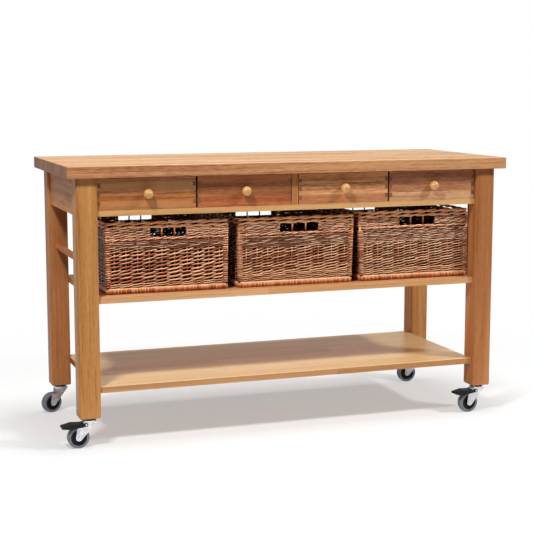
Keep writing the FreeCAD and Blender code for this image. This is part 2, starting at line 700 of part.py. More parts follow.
def caster_plate():
    """Black plate under a leg, with its stem in the leg and the kingpin that holds the fork."""
    up = V(0, 0, 1)
    plate = rod(PLATE_RADIUS, PLATE_THICKNESS, V(0, 0, CASTER_HEIGHT - PLATE_THICKNESS), up)
    stem = rod(STEM_RADIUS, STEM_LENGTH, V(0, 0, CASTER_HEIGHT), up)
    flange_top = CROWN_BOTTOM - PLATE_GAP
    kingpin = rod(KINGPIN_RADIUS, CASTER_HEIGHT - flange_top, V(0, 0, flange_top), up)
    flange = rod(KINGPIN_FLANGE_RADIUS, KINGPIN_FLANGE_THICKNESS, V(0, 0, flange_top), up * -1)
    return joined(plate, stem, kingpin, flange)


def axle():
    """Axle bolt with a head outside each side of the fork."""
    bolt = across(AXLE_RADIUS, FORK_OUT, -CASTER_TRAIL, WHEEL_RADIUS)
    heads = []
    for sy in (-1, 1):
        seat = V(-CASTER_TRAIL, sy * FORK_OUT, WHEEL_RADIUS)
        heads.append(rod(AXLE_HEAD_RADIUS, AXLE_HEAD_HEIGHT, seat, V(0, sy, 0)))
    return joined(bolt, *heads)


def hub():
    """Black wheel centre: long boss on the axle, thin web and a rim under the tyre."""
    bore = AXLE_RADIUS + RUNNING_CLEARANCE
    rim = HUB_RADIUS - HUB_RIM_THICKNESS
    boss_y, web_y, rim_y = FORK_GAP / 2 - HUB_SIDE_CLEARANCE, HUB_WEB_WIDTH / 2, HUB_RIM_WIDTH / 2
    half = [(bore, boss_y), (HUB_BOSS_RADIUS, boss_y), (HUB_BOSS_RADIUS, web_y), (rim, web_y)]
    half += [(rim, rim_y), (HUB_RADIUS, rim_y)]
    return turned(half + [(radius, -y) for radius, y in reversed(half)])


def tyre():
    """Grey tyre with rounded shoulders."""
    half = TYRE_WIDTH / 2
    bore = HUB_RADIUS + TYRE_FIT
    ring = turned([(bore, half), (WHEEL_RADIUS, half), (WHEEL_RADIUS, -half), (bore, -half)])
    circles = [edge for edge in ring.Edges if isinstance(edge.Curve, Part.Circle)]
    shoulders = [edge for edge in circles if edge.Curve.Radius > HUB_RADIUS + TYRE_THICKNESS / 2]
    return ring.makeFillet(TYRE_SHOULDER, shoulders)


def brake_top():
    """Outline of the pedal's tread from its neck to its ridged tip, as (x, z) points."""
    under = 2 * WHEEL_RADIUS + BRAKE_PLATE_LIFT
    top = under + BRAKE_PLATE_THICKNESS
    start = -FORK_NECK_BACK - BRAKE_NECK_GAP
    slope = BRAKE_TIP_DROP / (BRAKE_REACH - BRAKE_TREAD_START)
    points = [(start, under), (start, top - BRAKE_RIDGE_HEIGHT)]
    x = -BRAKE_TREAD_START
    points.append((x, top))
    for _ in range(BRAKE_RIDGES):
        z = top + slope * (x + BRAKE_TREAD_START)
        points.append((x - BRAKE_RIDGE_PITCH / 2, z))
        points.append((x - BRAKE_RIDGE_PITCH / 2, z - BRAKE_RIDGE_HEIGHT))
        x -= BRAKE_RIDGE_PITCH
        points.append((x, z - BRAKE_RIDGE_HEIGHT))
    tip = top - BRAKE_TIP_DROP
    points.append((-BRAKE_REACH, tip - BRAKE_RIDGE_HEIGHT))
    points.append((-BRAKE_REACH, tip - BRAKE_TIP_THICKNESS))
    points.append((-BRAKE_TREAD_START - BRAKE_KEEL_LENGTH, top - BRAKE_TREAD_THICKNESS))
    points.append((-BRAKE_TREAD_START, top - BRAKE_TREAD_THICKNESS))
    points.append((-BRAKE_TREAD_START + BRAKE_KEEL_SLOPE, under))
    return points


def brake():
    """Brake pedal: ridged tread over the wheel, a shoe, and two cheeks on the fork's studs."""
    half = BRAKE_WIDTH / 2
    pivot_x, pivot_z = -BRAKE_PIVOT_BACK, BRAKE_PIVOT_HEIGHT
    under = 2 * WHEEL_RADIUS + BRAKE_PLATE_LIFT
    tread = side_profile(brake_top(), -half, half)
    shoe_x = -CASTER_TRAIL - BRAKE_SHOE_LENGTH / 2, -CASTER_TRAIL + BRAKE_SHOE_LENGTH / 2
    shoe_low = 2 * WHEEL_RADIUS + BRAKE_SHOE_GAP
    shoe = block(*shoe_x, -BRAKE_SHOE_WIDTH / 2, BRAKE_SHOE_WIDTH / 2, shoe_low, under)
    cheek_points = [
        (pivot_x, pivot_z + BRAKE_EYE_RADIUS),
        (pivot_x - BRAKE_CHEEK_LENGTH, under),
        (pivot_x - BRAKE_CHEEK_LENGTH, BRAKE_CHEEK_BOTTOM),
        (pivot_x - BRAKE_EYE_RADIUS, pivot_z - BRAKE_EYE_RADIUS),
        (pivot_x, pivot_z - BRAKE_EYE_RADIUS),
    ]
    pieces = []
    for y0, y1 in ((-half, BRAKE_CHEEK_THICKNESS - half), (half - BRAKE_CHEEK_THICKNESS, half)):
        eye = rod(BRAKE_EYE_RADIUS, y1 - y0, V(pivot_x, y0, pivot_z), V(0, 1, 0))
        pieces += [side_profile(cheek_points, y0, y1), eye]
    stud_hole = across(BRAKE_PIVOT_RADIUS + RUNNING_CLEARANCE, half, pivot_x, pivot_z)
    return drilled(joined(tread, shoe, *pieces), [stud_hole])


def at_corner(shape, sx, sy, swivel):
    """A caster piece turned about its swivel axis and set under its leg."""
    placed = shape.copy()
    placed.rotate(V(0, 0, 0), V(0, 0, 1), swivel)
    placed.translate(V(sx * LEG_X, sy * LEG_Y, 0))
    return placed


def save_frame():
    """Worktop, legs, aprons, rails, shelves and what holds them together."""
    save("worktop", [worktop()])
    for name, sx, sy, _, _ in CASTERS:
        save("leg_" + name, [leg(sx, sy)])
    save("end_apron_left", [end_apron(-1)])
    save("end_apron_right", [end_apron(1)])
    save("back_apron", [back_apron()])
    save("drawer_rail", [drawer_rail()])
    save("drawer_divider", [drawer_divider()])
    save("drawer_runners", drawer_runners())
    save("towel_rail", [towel_rail()])
    save("basket_shelf", [shelf(BASKET_SHELF_TOP)])
    save("bottom_shelf", [shelf(BOTTOM_SHELF_TOP)])
    save("shelf_dowels", all_shelf_dowels())
    save("worktop_brackets", worktop_brackets())
    save("worktop_screws", bracket_screws())


def save_drawers():
    """Four drawers, numbered from the left."""
    for number, (x0, x1) in enumerate(drawer_spans(), start=1):
        name = f"drawer_{number}_"
        save(name + "front", [drawer_front(x0, x1)])
        save(name + "sides", drawer_sides(x0, x1))
        save(name + "back", [drawer_end(x0, x1, DRAWER_BACK_Y - DRAWER_BACK_THICKNESS, DRAWER_BACK_Y)])
        save(name + "bottom", [drawer_bottom(x0, x1)])
        save(name + "knob", [knob(x0, x1)])


def save_baskets():
    """Three baskets, numbered from the left."""
    for number, basket in enumerate(baskets(), start=1):
        save(f"basket_{number}", [basket.solid()])


def save_casters():
    """Four casters, and the plates that hold them to the legs."""
    plates = []
    for name, sx, sy, swivel, braked in CASTERS:
        plates.append(at_corner(caster_plate(), sx, sy, 0.0))
        pieces = {"fork": fork(braked), "axle": axle(), "hub": hub(), "tyre": tyre()}
        if braked:
            pieces["brake"] = brake()
        for piece, shape in pieces.items():
            save(f"caster_{name}_{piece}", [at_corner(shape, sx, sy, swivel)])
    save("caster_plates", plates)


os.makedirs("parts", exist_ok=True)
save_frame()
save_drawers()
save_baskets()
save_casters()
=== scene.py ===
"""Dresses the kitchen cart: oiled hardwood, woven willow baskets, zinc, plastic and rubber casters.

Every size is in metres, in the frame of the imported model. The wooden and metal pieces are the
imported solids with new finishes. The willow baskets are woven here, rod by rod, in the place of
their plain solids.
"""
import logging
import math
from dataclasses import dataclass, field, replace
from enum import Enum

import bpy
import numpy as np
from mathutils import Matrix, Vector


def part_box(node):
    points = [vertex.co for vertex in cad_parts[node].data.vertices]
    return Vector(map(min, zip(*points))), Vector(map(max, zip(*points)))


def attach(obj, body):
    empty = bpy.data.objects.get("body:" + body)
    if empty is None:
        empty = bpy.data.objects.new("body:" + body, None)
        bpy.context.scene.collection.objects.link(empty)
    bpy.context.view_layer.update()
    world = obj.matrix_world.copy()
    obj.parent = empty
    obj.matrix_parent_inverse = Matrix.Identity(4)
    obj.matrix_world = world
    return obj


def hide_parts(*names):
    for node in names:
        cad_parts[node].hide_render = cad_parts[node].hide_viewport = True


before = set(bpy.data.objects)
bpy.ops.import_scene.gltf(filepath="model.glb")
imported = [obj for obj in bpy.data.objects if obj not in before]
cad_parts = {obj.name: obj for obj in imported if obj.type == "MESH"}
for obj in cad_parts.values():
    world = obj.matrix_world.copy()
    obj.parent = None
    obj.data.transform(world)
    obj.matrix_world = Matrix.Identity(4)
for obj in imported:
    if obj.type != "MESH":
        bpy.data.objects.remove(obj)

LOG = logging.getLogger("kitchen_cart")
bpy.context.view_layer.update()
MM = 0.001
FULL_TURN = 2 * np.pi
QUARTER_TURN = math.pi / 2
DRAWER_SEED = 40.0
DRAWER_SEED_STEP = 6.1
BASKET_SEED = 70

Triple = tuple[float, float, float]
Rgba = tuple[float, float, float, float]
Tones = tuple[Rgba, Rgba, Rgba]
Span = tuple[float, float]
Socket = bpy.types.NodeSocket


def tint(red: int, green: int, blue: int) -> Rgba:
    """Linear colour of an 8-bit display colour.

    Args:
        red: Red from 0 to 255.
        green: Green from 0 to 255.
        blue: Blue from 0 to 255.

    Returns:
        The colour as a shader takes it, by the display's own curve.
    """
    shares = np.array([red, green, blue]) / 255.0
    curve = np.where(shares <= 0.04045, shares / 12.92, ((shares + 0.055) / 1.055) ** 2.4)
    return (*(float(share) for share in curve), 1.0)


def wood_tones(*colours: tuple[int, int, int]) -> Tones:
    """Three tones of a wood, from 8-bit display colours."""
    return tuple(tint(*colour) for colour in colours)


class Graph:
    """Places and joins shader nodes in one node tree."""

    def __init__(self, tree: bpy.types.NodeTree) -> None:
        """Keeps the tree that the nodes go into."""
        self.tree = tree

    def feed(self, socket: Socket, value: object) -> None:
        """Joins a socket to an input, or sets the input's own value.

        Args:
            socket: The input.
            value: Socket or constant.
        """
        if isinstance(value, Socket):
            self.tree.links.new(value, socket)
        else:
            socket.default_value = value

    def add(self, kind: str, *terms: object, **settings: object) -> bpy.types.Node:
        """A new node.

        Args:
            kind: Blender's name of the node type.
            *terms: Sockets or constants for its first inputs, in order.
            **settings: Attributes to set on it.

        Returns:
            The node.
        """
        node = self.tree.nodes.new(kind)
        for name, value in settings.items():
            setattr(node, name, value)
        for socket, term in zip(node.inputs, terms):
            self.feed(socket, term)
        return node

    def named(self, kind: str, settings: dict[str, object], **terms: object) -> bpy.types.Node:
        """A new node whose inputs are fed by name.

        Args:
            kind: Blender's name of the node type.
            settings: Attributes to set on it.
            **terms: Sockets or constants by the name of the input.

        Returns:
            The node.
        """
        node = self.add(kind, **settings)
        for name, term in terms.items():
            self.feed(node.inputs[name], term)
        return node

    def calc(self, operation: str, *terms: object) -> Socket:
        """Arithmetic on values, by the name of a Math node's operation."""
        return self.add("ShaderNodeMath", *terms, operation=operation).outputs[0]

    def sway(self, value: Socket, weight: object, base: object) -> Socket:
        """A value from 0 to 1, centred on nothing, times a weight, plus a base."""
        return self.calc("MULTIPLY_ADD", self.calc("SUBTRACT", value, 0.5), weight, base)

    def vector(self, operation: str, *terms: object) -> Socket:
        """Arithmetic on vectors, by the name of a Vector Math node's operation."""
        node = self.add("ShaderNodeVectorMath", *terms, operation=operation)
        return node.outputs["Value"] if operation in ("LENGTH", "DOT_PRODUCT") else node.outputs["Vector"]

    def split(self, vector: Socket) -> tuple[Socket, Socket, Socket]:
        """The three parts of a vector."""
        return tuple(self.add("ShaderNodeSeparateXYZ", vector).outputs)

    def merge(self, x: object, y: object, z: object) -> Socket:
        """A vector made of three values."""
        return self.add("ShaderNodeCombineXYZ", x, y, z).outputs[0]

    def blend(self, share: object, first: object, second: object, mode: str = "MIX") -> Socket:
        """A mix of two colours.

        Args:
            share: How much of the second, from 0 to 1.
            first: Colour or socket.
            second: Colour or socket.
            mode: Blend mode.

        Returns:
            The mixed colour's socket.
        """
        node = self.add("ShaderNodeMix", data_type="RGBA", blend_type=mode, clamp_factor=True)
        for index, term in ((0, share), (6, first), (7, second)):
            self.feed(node.inputs[index], term)
        return node.outputs[2]

    def noise(self, vector: Socket, scale: object, detail: float = 2.0, roughness: float = 0.5) -> Socket:
        """Smooth noise from 0 to 1, by bumps per metre, octaves and the share of the finer octaves."""
        return self.named("ShaderNodeTexNoise", {}, Vector=vector, Scale=scale, Detail=detail,
                          Roughness=roughness).outputs[0]

    def stretched(self, vector: Socket, scale: object, detail: float = 2.0,
                  roughness: float = 0.5) -> Socket:
        """Smooth noise whose bumps per metre differ from axis to axis."""
        return self.noise(self.vector("MULTIPLY", vector, scale), 1.0, detail, roughness)

    def chance(self, vector: Socket) -> Socket:
        """A random value from 0 to 1 for each distinct vector."""
        return self.add("ShaderNodeTexWhiteNoise", vector, noise_dimensions="3D").outputs["Value"]

    def fade(self, value: Socket, low: float, high: float, out_low: float = 0.0,
             out_high: float = 1.0) -> Socket:
        """A value brought smoothly from the range low to high to the range out_low to out_high."""
        return self.add("ShaderNodeMapRange", value, low, high, out_low, out_high,
                        interpolation_type="SMOOTHSTEP").outputs[0]


class SocketKind(Enum):
    """Kinds of group socket, by Blender's names."""

    VALUE = "NodeSocketFloat"
    VECTOR = "NodeSocketVector"
    COLOUR = "NodeSocketColor"

    def all(self, *labels: str) -> dict[str, "SocketKind"]:
        """Sockets of this kind."""
        return dict.fromkeys(labels, self)


class Effect(Graph):
    """A shader node group with named inputs and outputs."""

    def __init__(self, name: str, takes: dict[str, SocketKind], gives: dict[str, SocketKind]) -> None:
        """Makes the group with its sockets.

        Args:
            name: The group's name.
            takes: Its inputs.
            gives: Its outputs.
        """
        super().__init__(bpy.data.node_groups.new(name, "ShaderNodeTree"))
        for sockets, side in ((takes, "INPUT"), (gives, "OUTPUT")):
            for label, kind in sockets.items():
                self.tree.interface.new_socket(label, in_out=side, socket_type=kind.value)
        self.takes = self.add("NodeGroupInput").outputs
        self.sink = self.add("NodeGroupOutput")

    def give(self, **results: Socket) -> bpy.types.NodeTree:
        """Feeds the group's outputs by name.

        Args:
            **results: The sockets to put out.

        Returns:
            The finished group.
        """
        for name, result in results.items():
            self.feed(self.sink.inputs[name], result)
        return self.tree


@dataclass(frozen=True)
class GrainPattern:
    """Grain of planed hardwood that runs along X, with its scales in bumps per metre on each axis.

    The tone adds up broad bands, growth rings, fibres and short flecks. Rings are the fractional
    part of the distance across the board, bent by noise, raised to a power so that each ring
    darkens to its late wood. Fine pores are a sharp threshold of long thin noise. On end grain the
    rings are circles round a pith below the board.
    """

    seed_shift: Triple = (3.17, 1.31, 2.23)
    bands_along: float = 0.7
    bend_scale: Triple = (1.6, 7.0, 7.0)
    bend: float = 0.055
    slant: float = 0.4
    rings: float = 95.0
    late_wood: float = 2.2
    fibre_scale: Triple = (10.0, 520.0, 520.0)
    streak_scale: Triple = (2.2, 90.0, 90.0)
    fleck_scale: Triple = (38.0, 230.0, 230.0)
    pore_scale: Triple = (60.0, 1500.0, 1500.0)
    end_rings: float = 260.0
    end_late_wood: float = 2.0
    speck_scale: Triple = (30.0, 700.0, 700.0)
    band_weight: float = 0.48
    ring_weight: float = 0.2
    streak_weight: float = 0.24
    fibre_weight: float = 0.3
    end_ring_weight: float = 0.3
    speck_weight: float = 0.5
    pore_tint: float = 0.3
    pore_height: float = -0.7
    least_roughness: float = 0.38
    deep_roughness: float = 0.16

    def group(self) -> bpy.types.NodeTree:
        """Builds the shared node group.

        Returns:
            The group: colour, roughness and height of the grain.
        """
        takes = {**SocketKind.VECTOR.all("Vector"), **SocketKind.COLOUR.all("Pale", "Middle", "Deep"),
                 **SocketKind.VALUE.all("Seed", "End", "Contrast", "Bands", "Fleck", "EndTone")}
        gives = {**SocketKind.COLOUR.all("Color"), **SocketKind.VALUE.all("Roughness", "Height")}
        g = Effect("hardwood grain", takes, gives)
        seed, end, bands, deep = (g.takes[label] for label in ("Seed", "End", "Bands", "Deep"))
        shift = g.vector("MULTIPLY", g.merge(seed, seed, seed), self.seed_shift)
        place = g.vector("ADD", g.takes["Vector"], shift)
        _, across, depth = g.split(place)
        broad = g.stretched(place, g.merge(self.bands_along, bands, bands), 3.0)
        bent = g.calc("MULTIPLY_ADD", g.stretched(place, self.bend_scale), self.bend,
                      g.calc("MULTIPLY_ADD", depth, self.slant, across))
        pith = g.vector("LENGTH", g.vector("MULTIPLY", place, (0.0, 1.0, 1.0)))
        ring, end_ring = (
            g.calc("POWER", g.calc("FRACT", g.calc("MULTIPLY", distance, count)), power)
            for distance, count, power in ((bent, self.rings, self.late_wood),
                                           (pith, self.end_rings, self.end_late_wood)))
        fibre = g.stretched(place, self.fibre_scale, 3.0, 0.6)
        streak = g.stretched(place, self.streak_scale)
        fleck = g.stretched(place, self.fleck_scale, 1.0)
        pores = g.fade(g.stretched(place, self.pore_scale, 1.0), 0.6, 0.75)
        tone = g.calc("ADD", g.fade(broad, 0.28, 0.72, 0.0, self.band_weight),
                      g.calc("MULTIPLY", ring, self.ring_weight))
        tone = g.calc("ADD", tone, g.fade(streak, 0.3, 0.7, 0.0, self.streak_weight))
        tone = g.sway(fleck, g.takes["Fleck"], g.sway(fibre, self.fibre_weight, tone))
        speck = g.calc("MULTIPLY_ADD", g.stretched(place, self.speck_scale), self.speck_weight,
                       g.takes["EndTone"])
        end_tone = g.calc("MULTIPLY_ADD", end_ring, self.end_ring_weight, speck)
        tone = g.calc("ADD", g.calc("MULTIPLY", tone, g.calc("SUBTRACT", 1.0, end)),
                      g.calc("MULTIPLY", end_tone, end))
        tone = g.sway(tone, g.takes["Contrast"], 0.5)
        light_half = g.blend(g.fade(tone, 0.0, 0.5), g.takes["Pale"], g.takes["Middle"])
        colour = g.blend(g.fade(tone, 0.45, 1.0), light_half, deep)
        return g.give(Color=g.blend(g.calc("MULTIPLY", pores, self.pore_tint), colour, deep),
                      Roughness=g.calc("MULTIPLY_ADD", tone, self.deep_roughness, self.least_roughness),
                      Height=g.calc("MULTIPLY_ADD", pores, self.pore_height, fibre))


@dataclass(frozen=True)
class StavePattern:
    """Glued staves that run along X.

    Rows are the whole part of the distance across over the stave width. Each row is shifted by a
    random length, and its staves are the whole part of the distance along over the stave length.
    Seams start at a share of a stave's width or length from its middle and end at its edge.
    """

    start_spread: float = 7.0
    grain_along: float = 11.0
    grain_across: float = 5.0
    side_seam: float = 0.485
    butt_seam: float = 0.4985
    edge: float = 0.5

    def group(self) -> bpy.types.NodeTree:
        """Builds the shared node group.

        Returns:
            The group: a random tone for each stave, a shifted place for its grain, and a mask of
            the thin glue lines.
        """
        takes = {**SocketKind.VECTOR.all("Vector"), **SocketKind.VALUE.all("Width", "Length", "Seed")}
        gives = {**SocketKind.VALUE.all("Tone", "Seam"), **SocketKind.VECTOR.all("Vector")}
        g = Effect("glued staves", takes, gives)
        seed = g.takes["Seed"]
        along, across, depth = g.split(g.takes["Vector"])
        rows = g.calc("DIVIDE", across, g.takes["Width"])
        row = g.calc("FLOOR", rows)
        start = g.chance(g.merge(row, seed, 0.5))
        runs = g.calc("ADD", g.calc("DIVIDE", along, g.takes["Length"]),
                      g.calc("MULTIPLY", start, self.start_spread))
        tone = g.chance(g.merge(row, g.calc("FLOOR", runs), seed))
        drift = g.merge(g.calc("MULTIPLY", tone, self.grain_along),
                        g.calc("MULTIPLY", tone, self.grain_across), depth)
        shifted = g.vector("ADD", g.merge(along, across, depth), drift)
        side, butt = (g.fade(g.calc("ABSOLUTE", g.sway(g.calc("FRACT", steps), 1.0, 0.0)), seam, self.edge)
                      for steps, seam in ((rows, self.side_seam), (runs, self.butt_seam)))
        return g.give(Tone=tone, Vector=shifted, Seam=g.calc("MAXIMUM", side, butt))


@dataclass(frozen=True)
class WearPattern:
    """Handling marks: cloudy dulling with fine scratches, for metal, plastic and rubber."""

    cloud_detail: float = 4.0
    cloud_low: float = 0.35
    cloud_high: float = 0.7
    cloud_weight: float = 0.6
    grit_weight: float = 0.4

    def group(self) -> bpy.types.NodeTree:
        """Builds the shared node group.

        Returns:
            The group: a mask of cloudy marks, and a fine height.
        """
        takes = {**SocketKind.VECTOR.all("Vector"), **SocketKind.VALUE.all("Clouds", "Grit")}
        g = Effect("handling marks", takes, SocketKind.VALUE.all("Marks", "Height"))
        clouds = g.noise(g.takes["Vector"], g.takes["Clouds"], self.cloud_detail)
        grit = g.noise(g.takes["Vector"], g.takes["Grit"])
        dulled = g.fade(clouds, self.cloud_low, self.cloud_high, 0.0, self.cloud_weight)
        return g.give(Marks=g.calc("MULTIPLY_ADD", grit, self.grit_weight, dulled), Height=grit)


@dataclass(frozen=True)
class Shop:
    """The node groups that the finishes share."""

    hardwood: bpy.types.NodeTree
    staves: bpy.types.NodeTree
    wear: bpy.types.NodeTree


class Surface(Graph):
    """A new material: its graph, its Principled shader and its object coordinates."""

    def __init__(self, name: str) -> None:
        """Makes the material with only a shader and an output.

        Args:
            name: The material's name.
        """
        self.material = bpy.data.materials.new(name)
        self.material.use_nodes = True
        super().__init__(self.material.node_tree)
        self.tree.nodes.clear()
        self.shader = self.add("ShaderNodeBsdfPrincipled")
        self.add("ShaderNodeOutputMaterial", self.shader.outputs[0])
        self.place = self.add("ShaderNodeTexCoord").outputs["Object"]

    def normal(self) -> Socket:
        """Where the surface faces."""
        return self.add("ShaderNodeNewGeometry").outputs["Normal"]

    def group(self, tree: bpy.types.NodeTree, **terms: object) -> bpy.types.NodeOutputs:
        """The outputs of a shared group whose inputs are fed by name."""
        return self.named("ShaderNodeGroup", {"node_tree": tree}, **terms).outputs

    def relief(self, height: Socket, strength: float, distance: float) -> Socket:
        """The normal of a surface raised by a height, with the distance of a full height in metres."""
        node = self.named("ShaderNodeBump", {}, Height=height, Strength=strength, Distance=distance)
        return node.outputs[0]

    def finish(self, inputs: dict[str, object]) -> bpy.types.Material:
        """Feeds the shader.

        Args:
            inputs: Sockets or constants by the name of the shader's input.

        Returns:
            The material.
        """
        for name, value in inputs.items():
            self.feed(self.shader.inputs[name], value)
        return self.material


class Grain(Enum):
    """Direction of the grain: its unit vector, and the turn that lays it along X."""

    ALONG_X = ((1.0, 0.0, 0.0), (0.0, 0.0, 0.0))
    ALONG_Y = ((0.0, 1.0, 0.0), (0.0, 0.0, -QUARTER_TURN))
    ALONG_Z = ((0.0, 0.0, 1.0), (0.0, QUARTER_TURN, 0.0))


@dataclass(frozen=True)
class Board:
    """A board of another colour, glued on below a height."""

    tones: Tones
    height: float
    glue_line: float = 0.4 * MM


@dataclass(frozen=True)
class Hardwood:
    """Oiled hardwood of one colour range."""

    name: str
    tones: Tones
    contrast: float = 1.0
    bands: float = 11.0
    fleck: float = 0.4
    gloss: float = 0.3
    stave_width: float = 0.0
    stave_length: float = 0.6
    stave_shade: float = 0.3
    end_stave_shade: float = 0.5
    seam_shade: float = 0.4
    polish: float = 1.0
    end_tone: float = 0.42
    relief: float = 0.25
    pore_depth: float = 0.4 * MM
    lower: tuple[Board, ...] = ()

    def material(self, shop: Shop, piece: str, grain: Grain, seed: float) -> bpy.types.Material:
        """The finish cut for one piece.

        Args:
            shop: The shared node groups.
            piece: Name of the piece, which names the material.
            grain: Direction of the piece's grain.
            seed: Moves the grain, so that no two pieces match.

        Returns:
            The material.
        """
        g = Surface(f"{self.name} {piece}")
        axis, turn = grain.value
        place = g.named("ShaderNodeMapping", {}, Vector=g.place, Rotation=turn).outputs[0]
        end = g.fade(g.calc("ABSOLUTE", g.vector("DOT_PRODUCT", g.normal(), axis)), 0.7, 0.9)
        staves = None
        if self.stave_width:
            staves = g.group(shop.staves, Vector=place, Width=self.stave_width,
                             Length=self.stave_length, Seed=seed)
            place = staves["Vector"]
        tones: tuple[object, ...] = self.tones
        for board in self.lower:
            _, _, height = g.split(g.place)
            below = g.fade(height, board.height - board.glue_line, board.height + board.glue_line, 1.0, 0.0)
            place = g.vector("ADD", place, g.merge(below, below, below))
            tones = tuple(g.blend(below, upper, under) for upper, under in zip(tones, board.tones))
        wood = g.group(shop.hardwood, Vector=place, Seed=seed, End=end, Contrast=self.contrast,
                       Bands=self.bands, Fleck=self.fleck, EndTone=self.end_tone,
                       **dict(zip(("Pale", "Middle", "Deep"), tones)))
        colour = wood["Color"]
        if staves is not None:
            _, middle, deep = self.tones
            share = g.calc("MULTIPLY_ADD", end, self.end_stave_shade, self.stave_shade)
            colour = g.blend(g.calc("MULTIPLY", staves["Tone"], share), colour,
                             g.blend(1.0, colour, middle, "MULTIPLY"))
            colour = g.blend(g.calc("MULTIPLY", staves["Seam"], self.seam_shade), colour, deep)
        roughness = g.calc("MULTIPLY", wood["Roughness"], self.polish)
        return g.finish({"Base Color": colour, "Roughness": roughness, "Specular IOR Level": self.gloss,
                         "Normal": g.relief(wood["Height"], self.relief, self.pore_depth)})


@dataclass(frozen=True)
class Moulded:
    """Metal, plastic or rubber of one colour with handling marks."""

    name: str
    colour: Rgba
    worn: Rgba
    smooth: float
    dull: float
    grit: float
    grit_depth: float
    metallic: float = 0.0
    gloss: float = 0.5
    clouds: float = 55.0
    relief: float = 0.3

    def material(self, shop: Shop) -> bpy.types.Material:
        """The finish.

        Args:
            shop: The shared node groups.

        Returns:
            The material, whose marks shift its colour and its gloss.
        """
        g = Surface(self.name)
        wear = g.group(shop.wear, Vector=g.place, Clouds=self.clouds, Grit=self.grit)
        marks = wear["Marks"]
        return g.finish({"Base Color": g.blend(marks, self.colour, self.worn),
                         "Roughness": g.fade(marks, 0.0, 1.0, self.smooth, self.dull),
                         "Metallic": self.metallic, "Specular IOR Level": self.gloss,
                         "Normal": g.relief(wear["Height"], self.relief, self.grit_depth)})


@dataclass(frozen=True)
class Willow:
    """Willow, tinted rod by rod through the mesh attributes tone, warmth and run; the tone also carries
    painted shade.
    """

    name: str = "varnished willow"
    grey: Tones = wood_tones((70, 42, 26), (158, 104, 66), (240, 206, 178))
    warm: Tones = wood_tones((88, 36, 14), (200, 96, 42), (252, 188, 134))
    sheen: Rgba = tint(255, 240, 226)
    gloss: float = 0.6
    drift_scale: float = 22.0
    drift_weight: float = 0.7
    bark_scale: float = 900.0
    bark_weight: float = 0.7
    smooth: float = 0.2
    dull: float = 0.4
    # Painted shade on a rod's underside and painted light on its upper side.
    painted_under_shade: float = -0.5
    painted_upper_light: float = 0.6
    relief: float = 0.3
    bark_depth: float = 0.4 * MM

    def material(self) -> bpy.types.Material:
        """The finish.

        Returns:
            The material: each rod has its own tone, which wanders slowly along its run, is painted
            paler above and darker below as painted light and shade from above, and is more grey or
            more orange by its warmth.
        """
        g = Surface(self.name)
        tone, warmth, run = (g.add("ShaderNodeAttribute", attribute_name=label).outputs["Fac"]
                             for label in ("tone", "warmth", "run"))
        drift = g.noise(g.merge(g.calc("MULTIPLY", run, self.drift_scale), 0.0, 0.0), 1.0, 3.0)
        bark = g.noise(g.place, self.bark_scale)
        _, _, upward = g.split(g.normal())
        level = g.sway(bark, self.bark_weight, g.sway(drift, self.drift_weight, tone))
        # Painted light and shade: upward-facing parts paler, downward-facing parts darker.
        level = g.calc("ADD", level, g.fade(upward, -0.6, 0.9, self.painted_under_shade, self.painted_upper_light))
        low, high = g.fade(level, 0.0, 0.5), g.fade(level, 0.5, 1.0)
        grey, warm = (g.blend(high, g.blend(low, dark, middle), pale)
                      for dark, middle, pale in (self.grey, self.warm))
        return g.finish({"Base Color": g.blend(warmth, grey, warm),
                         "Roughness": g.fade(bark, 0.2, 0.8, self.smooth, self.dull),
                         "Specular IOR Level": self.gloss, "Specular Tint": self.sheen,
                         "Normal": g.relief(bark, self.relief, self.bark_depth)})


@dataclass(frozen=True)
class Shade:
    """Painted shade: a dark sheet for the dark between the rods of a wall, with specks where light comes
    through.
    """

    name: str = "basket shade"
    deep: Rgba = tint(14, 9, 6)
    brown: Rgba = tint(36, 21, 13)
    cloud_scale: float = 60.0
    speck_scale: Triple = (120.0, 120.0, 420.0)
    speck_share: float = 0.57
    speck_rim: float = 0.04

    def material(self) -> bpy.types.Material:
        """The finish.

        Returns:
            The material: painted shade of dull dark brown clouds, clear in small level specks.
        """
        g = Surface(self.name)
        colour = g.blend(g.noise(g.place, self.cloud_scale), self.deep, self.brown)
        specks = g.stretched(g.place, self.speck_scale, 1.0)
        solid = g.fade(specks, self.speck_share, self.speck_share + self.speck_rim, 1.0, 0.0)
        return g.finish({"Base Color": colour, "Roughness": 1.0, "Specular IOR Level": 0.0, "Alpha": solid})


def ring_angles(sides: int) -> np.ndarray:
    """Angles of the points round a ring."""
    return np.linspace(0, FULL_TURN, sides, endpoint=False)


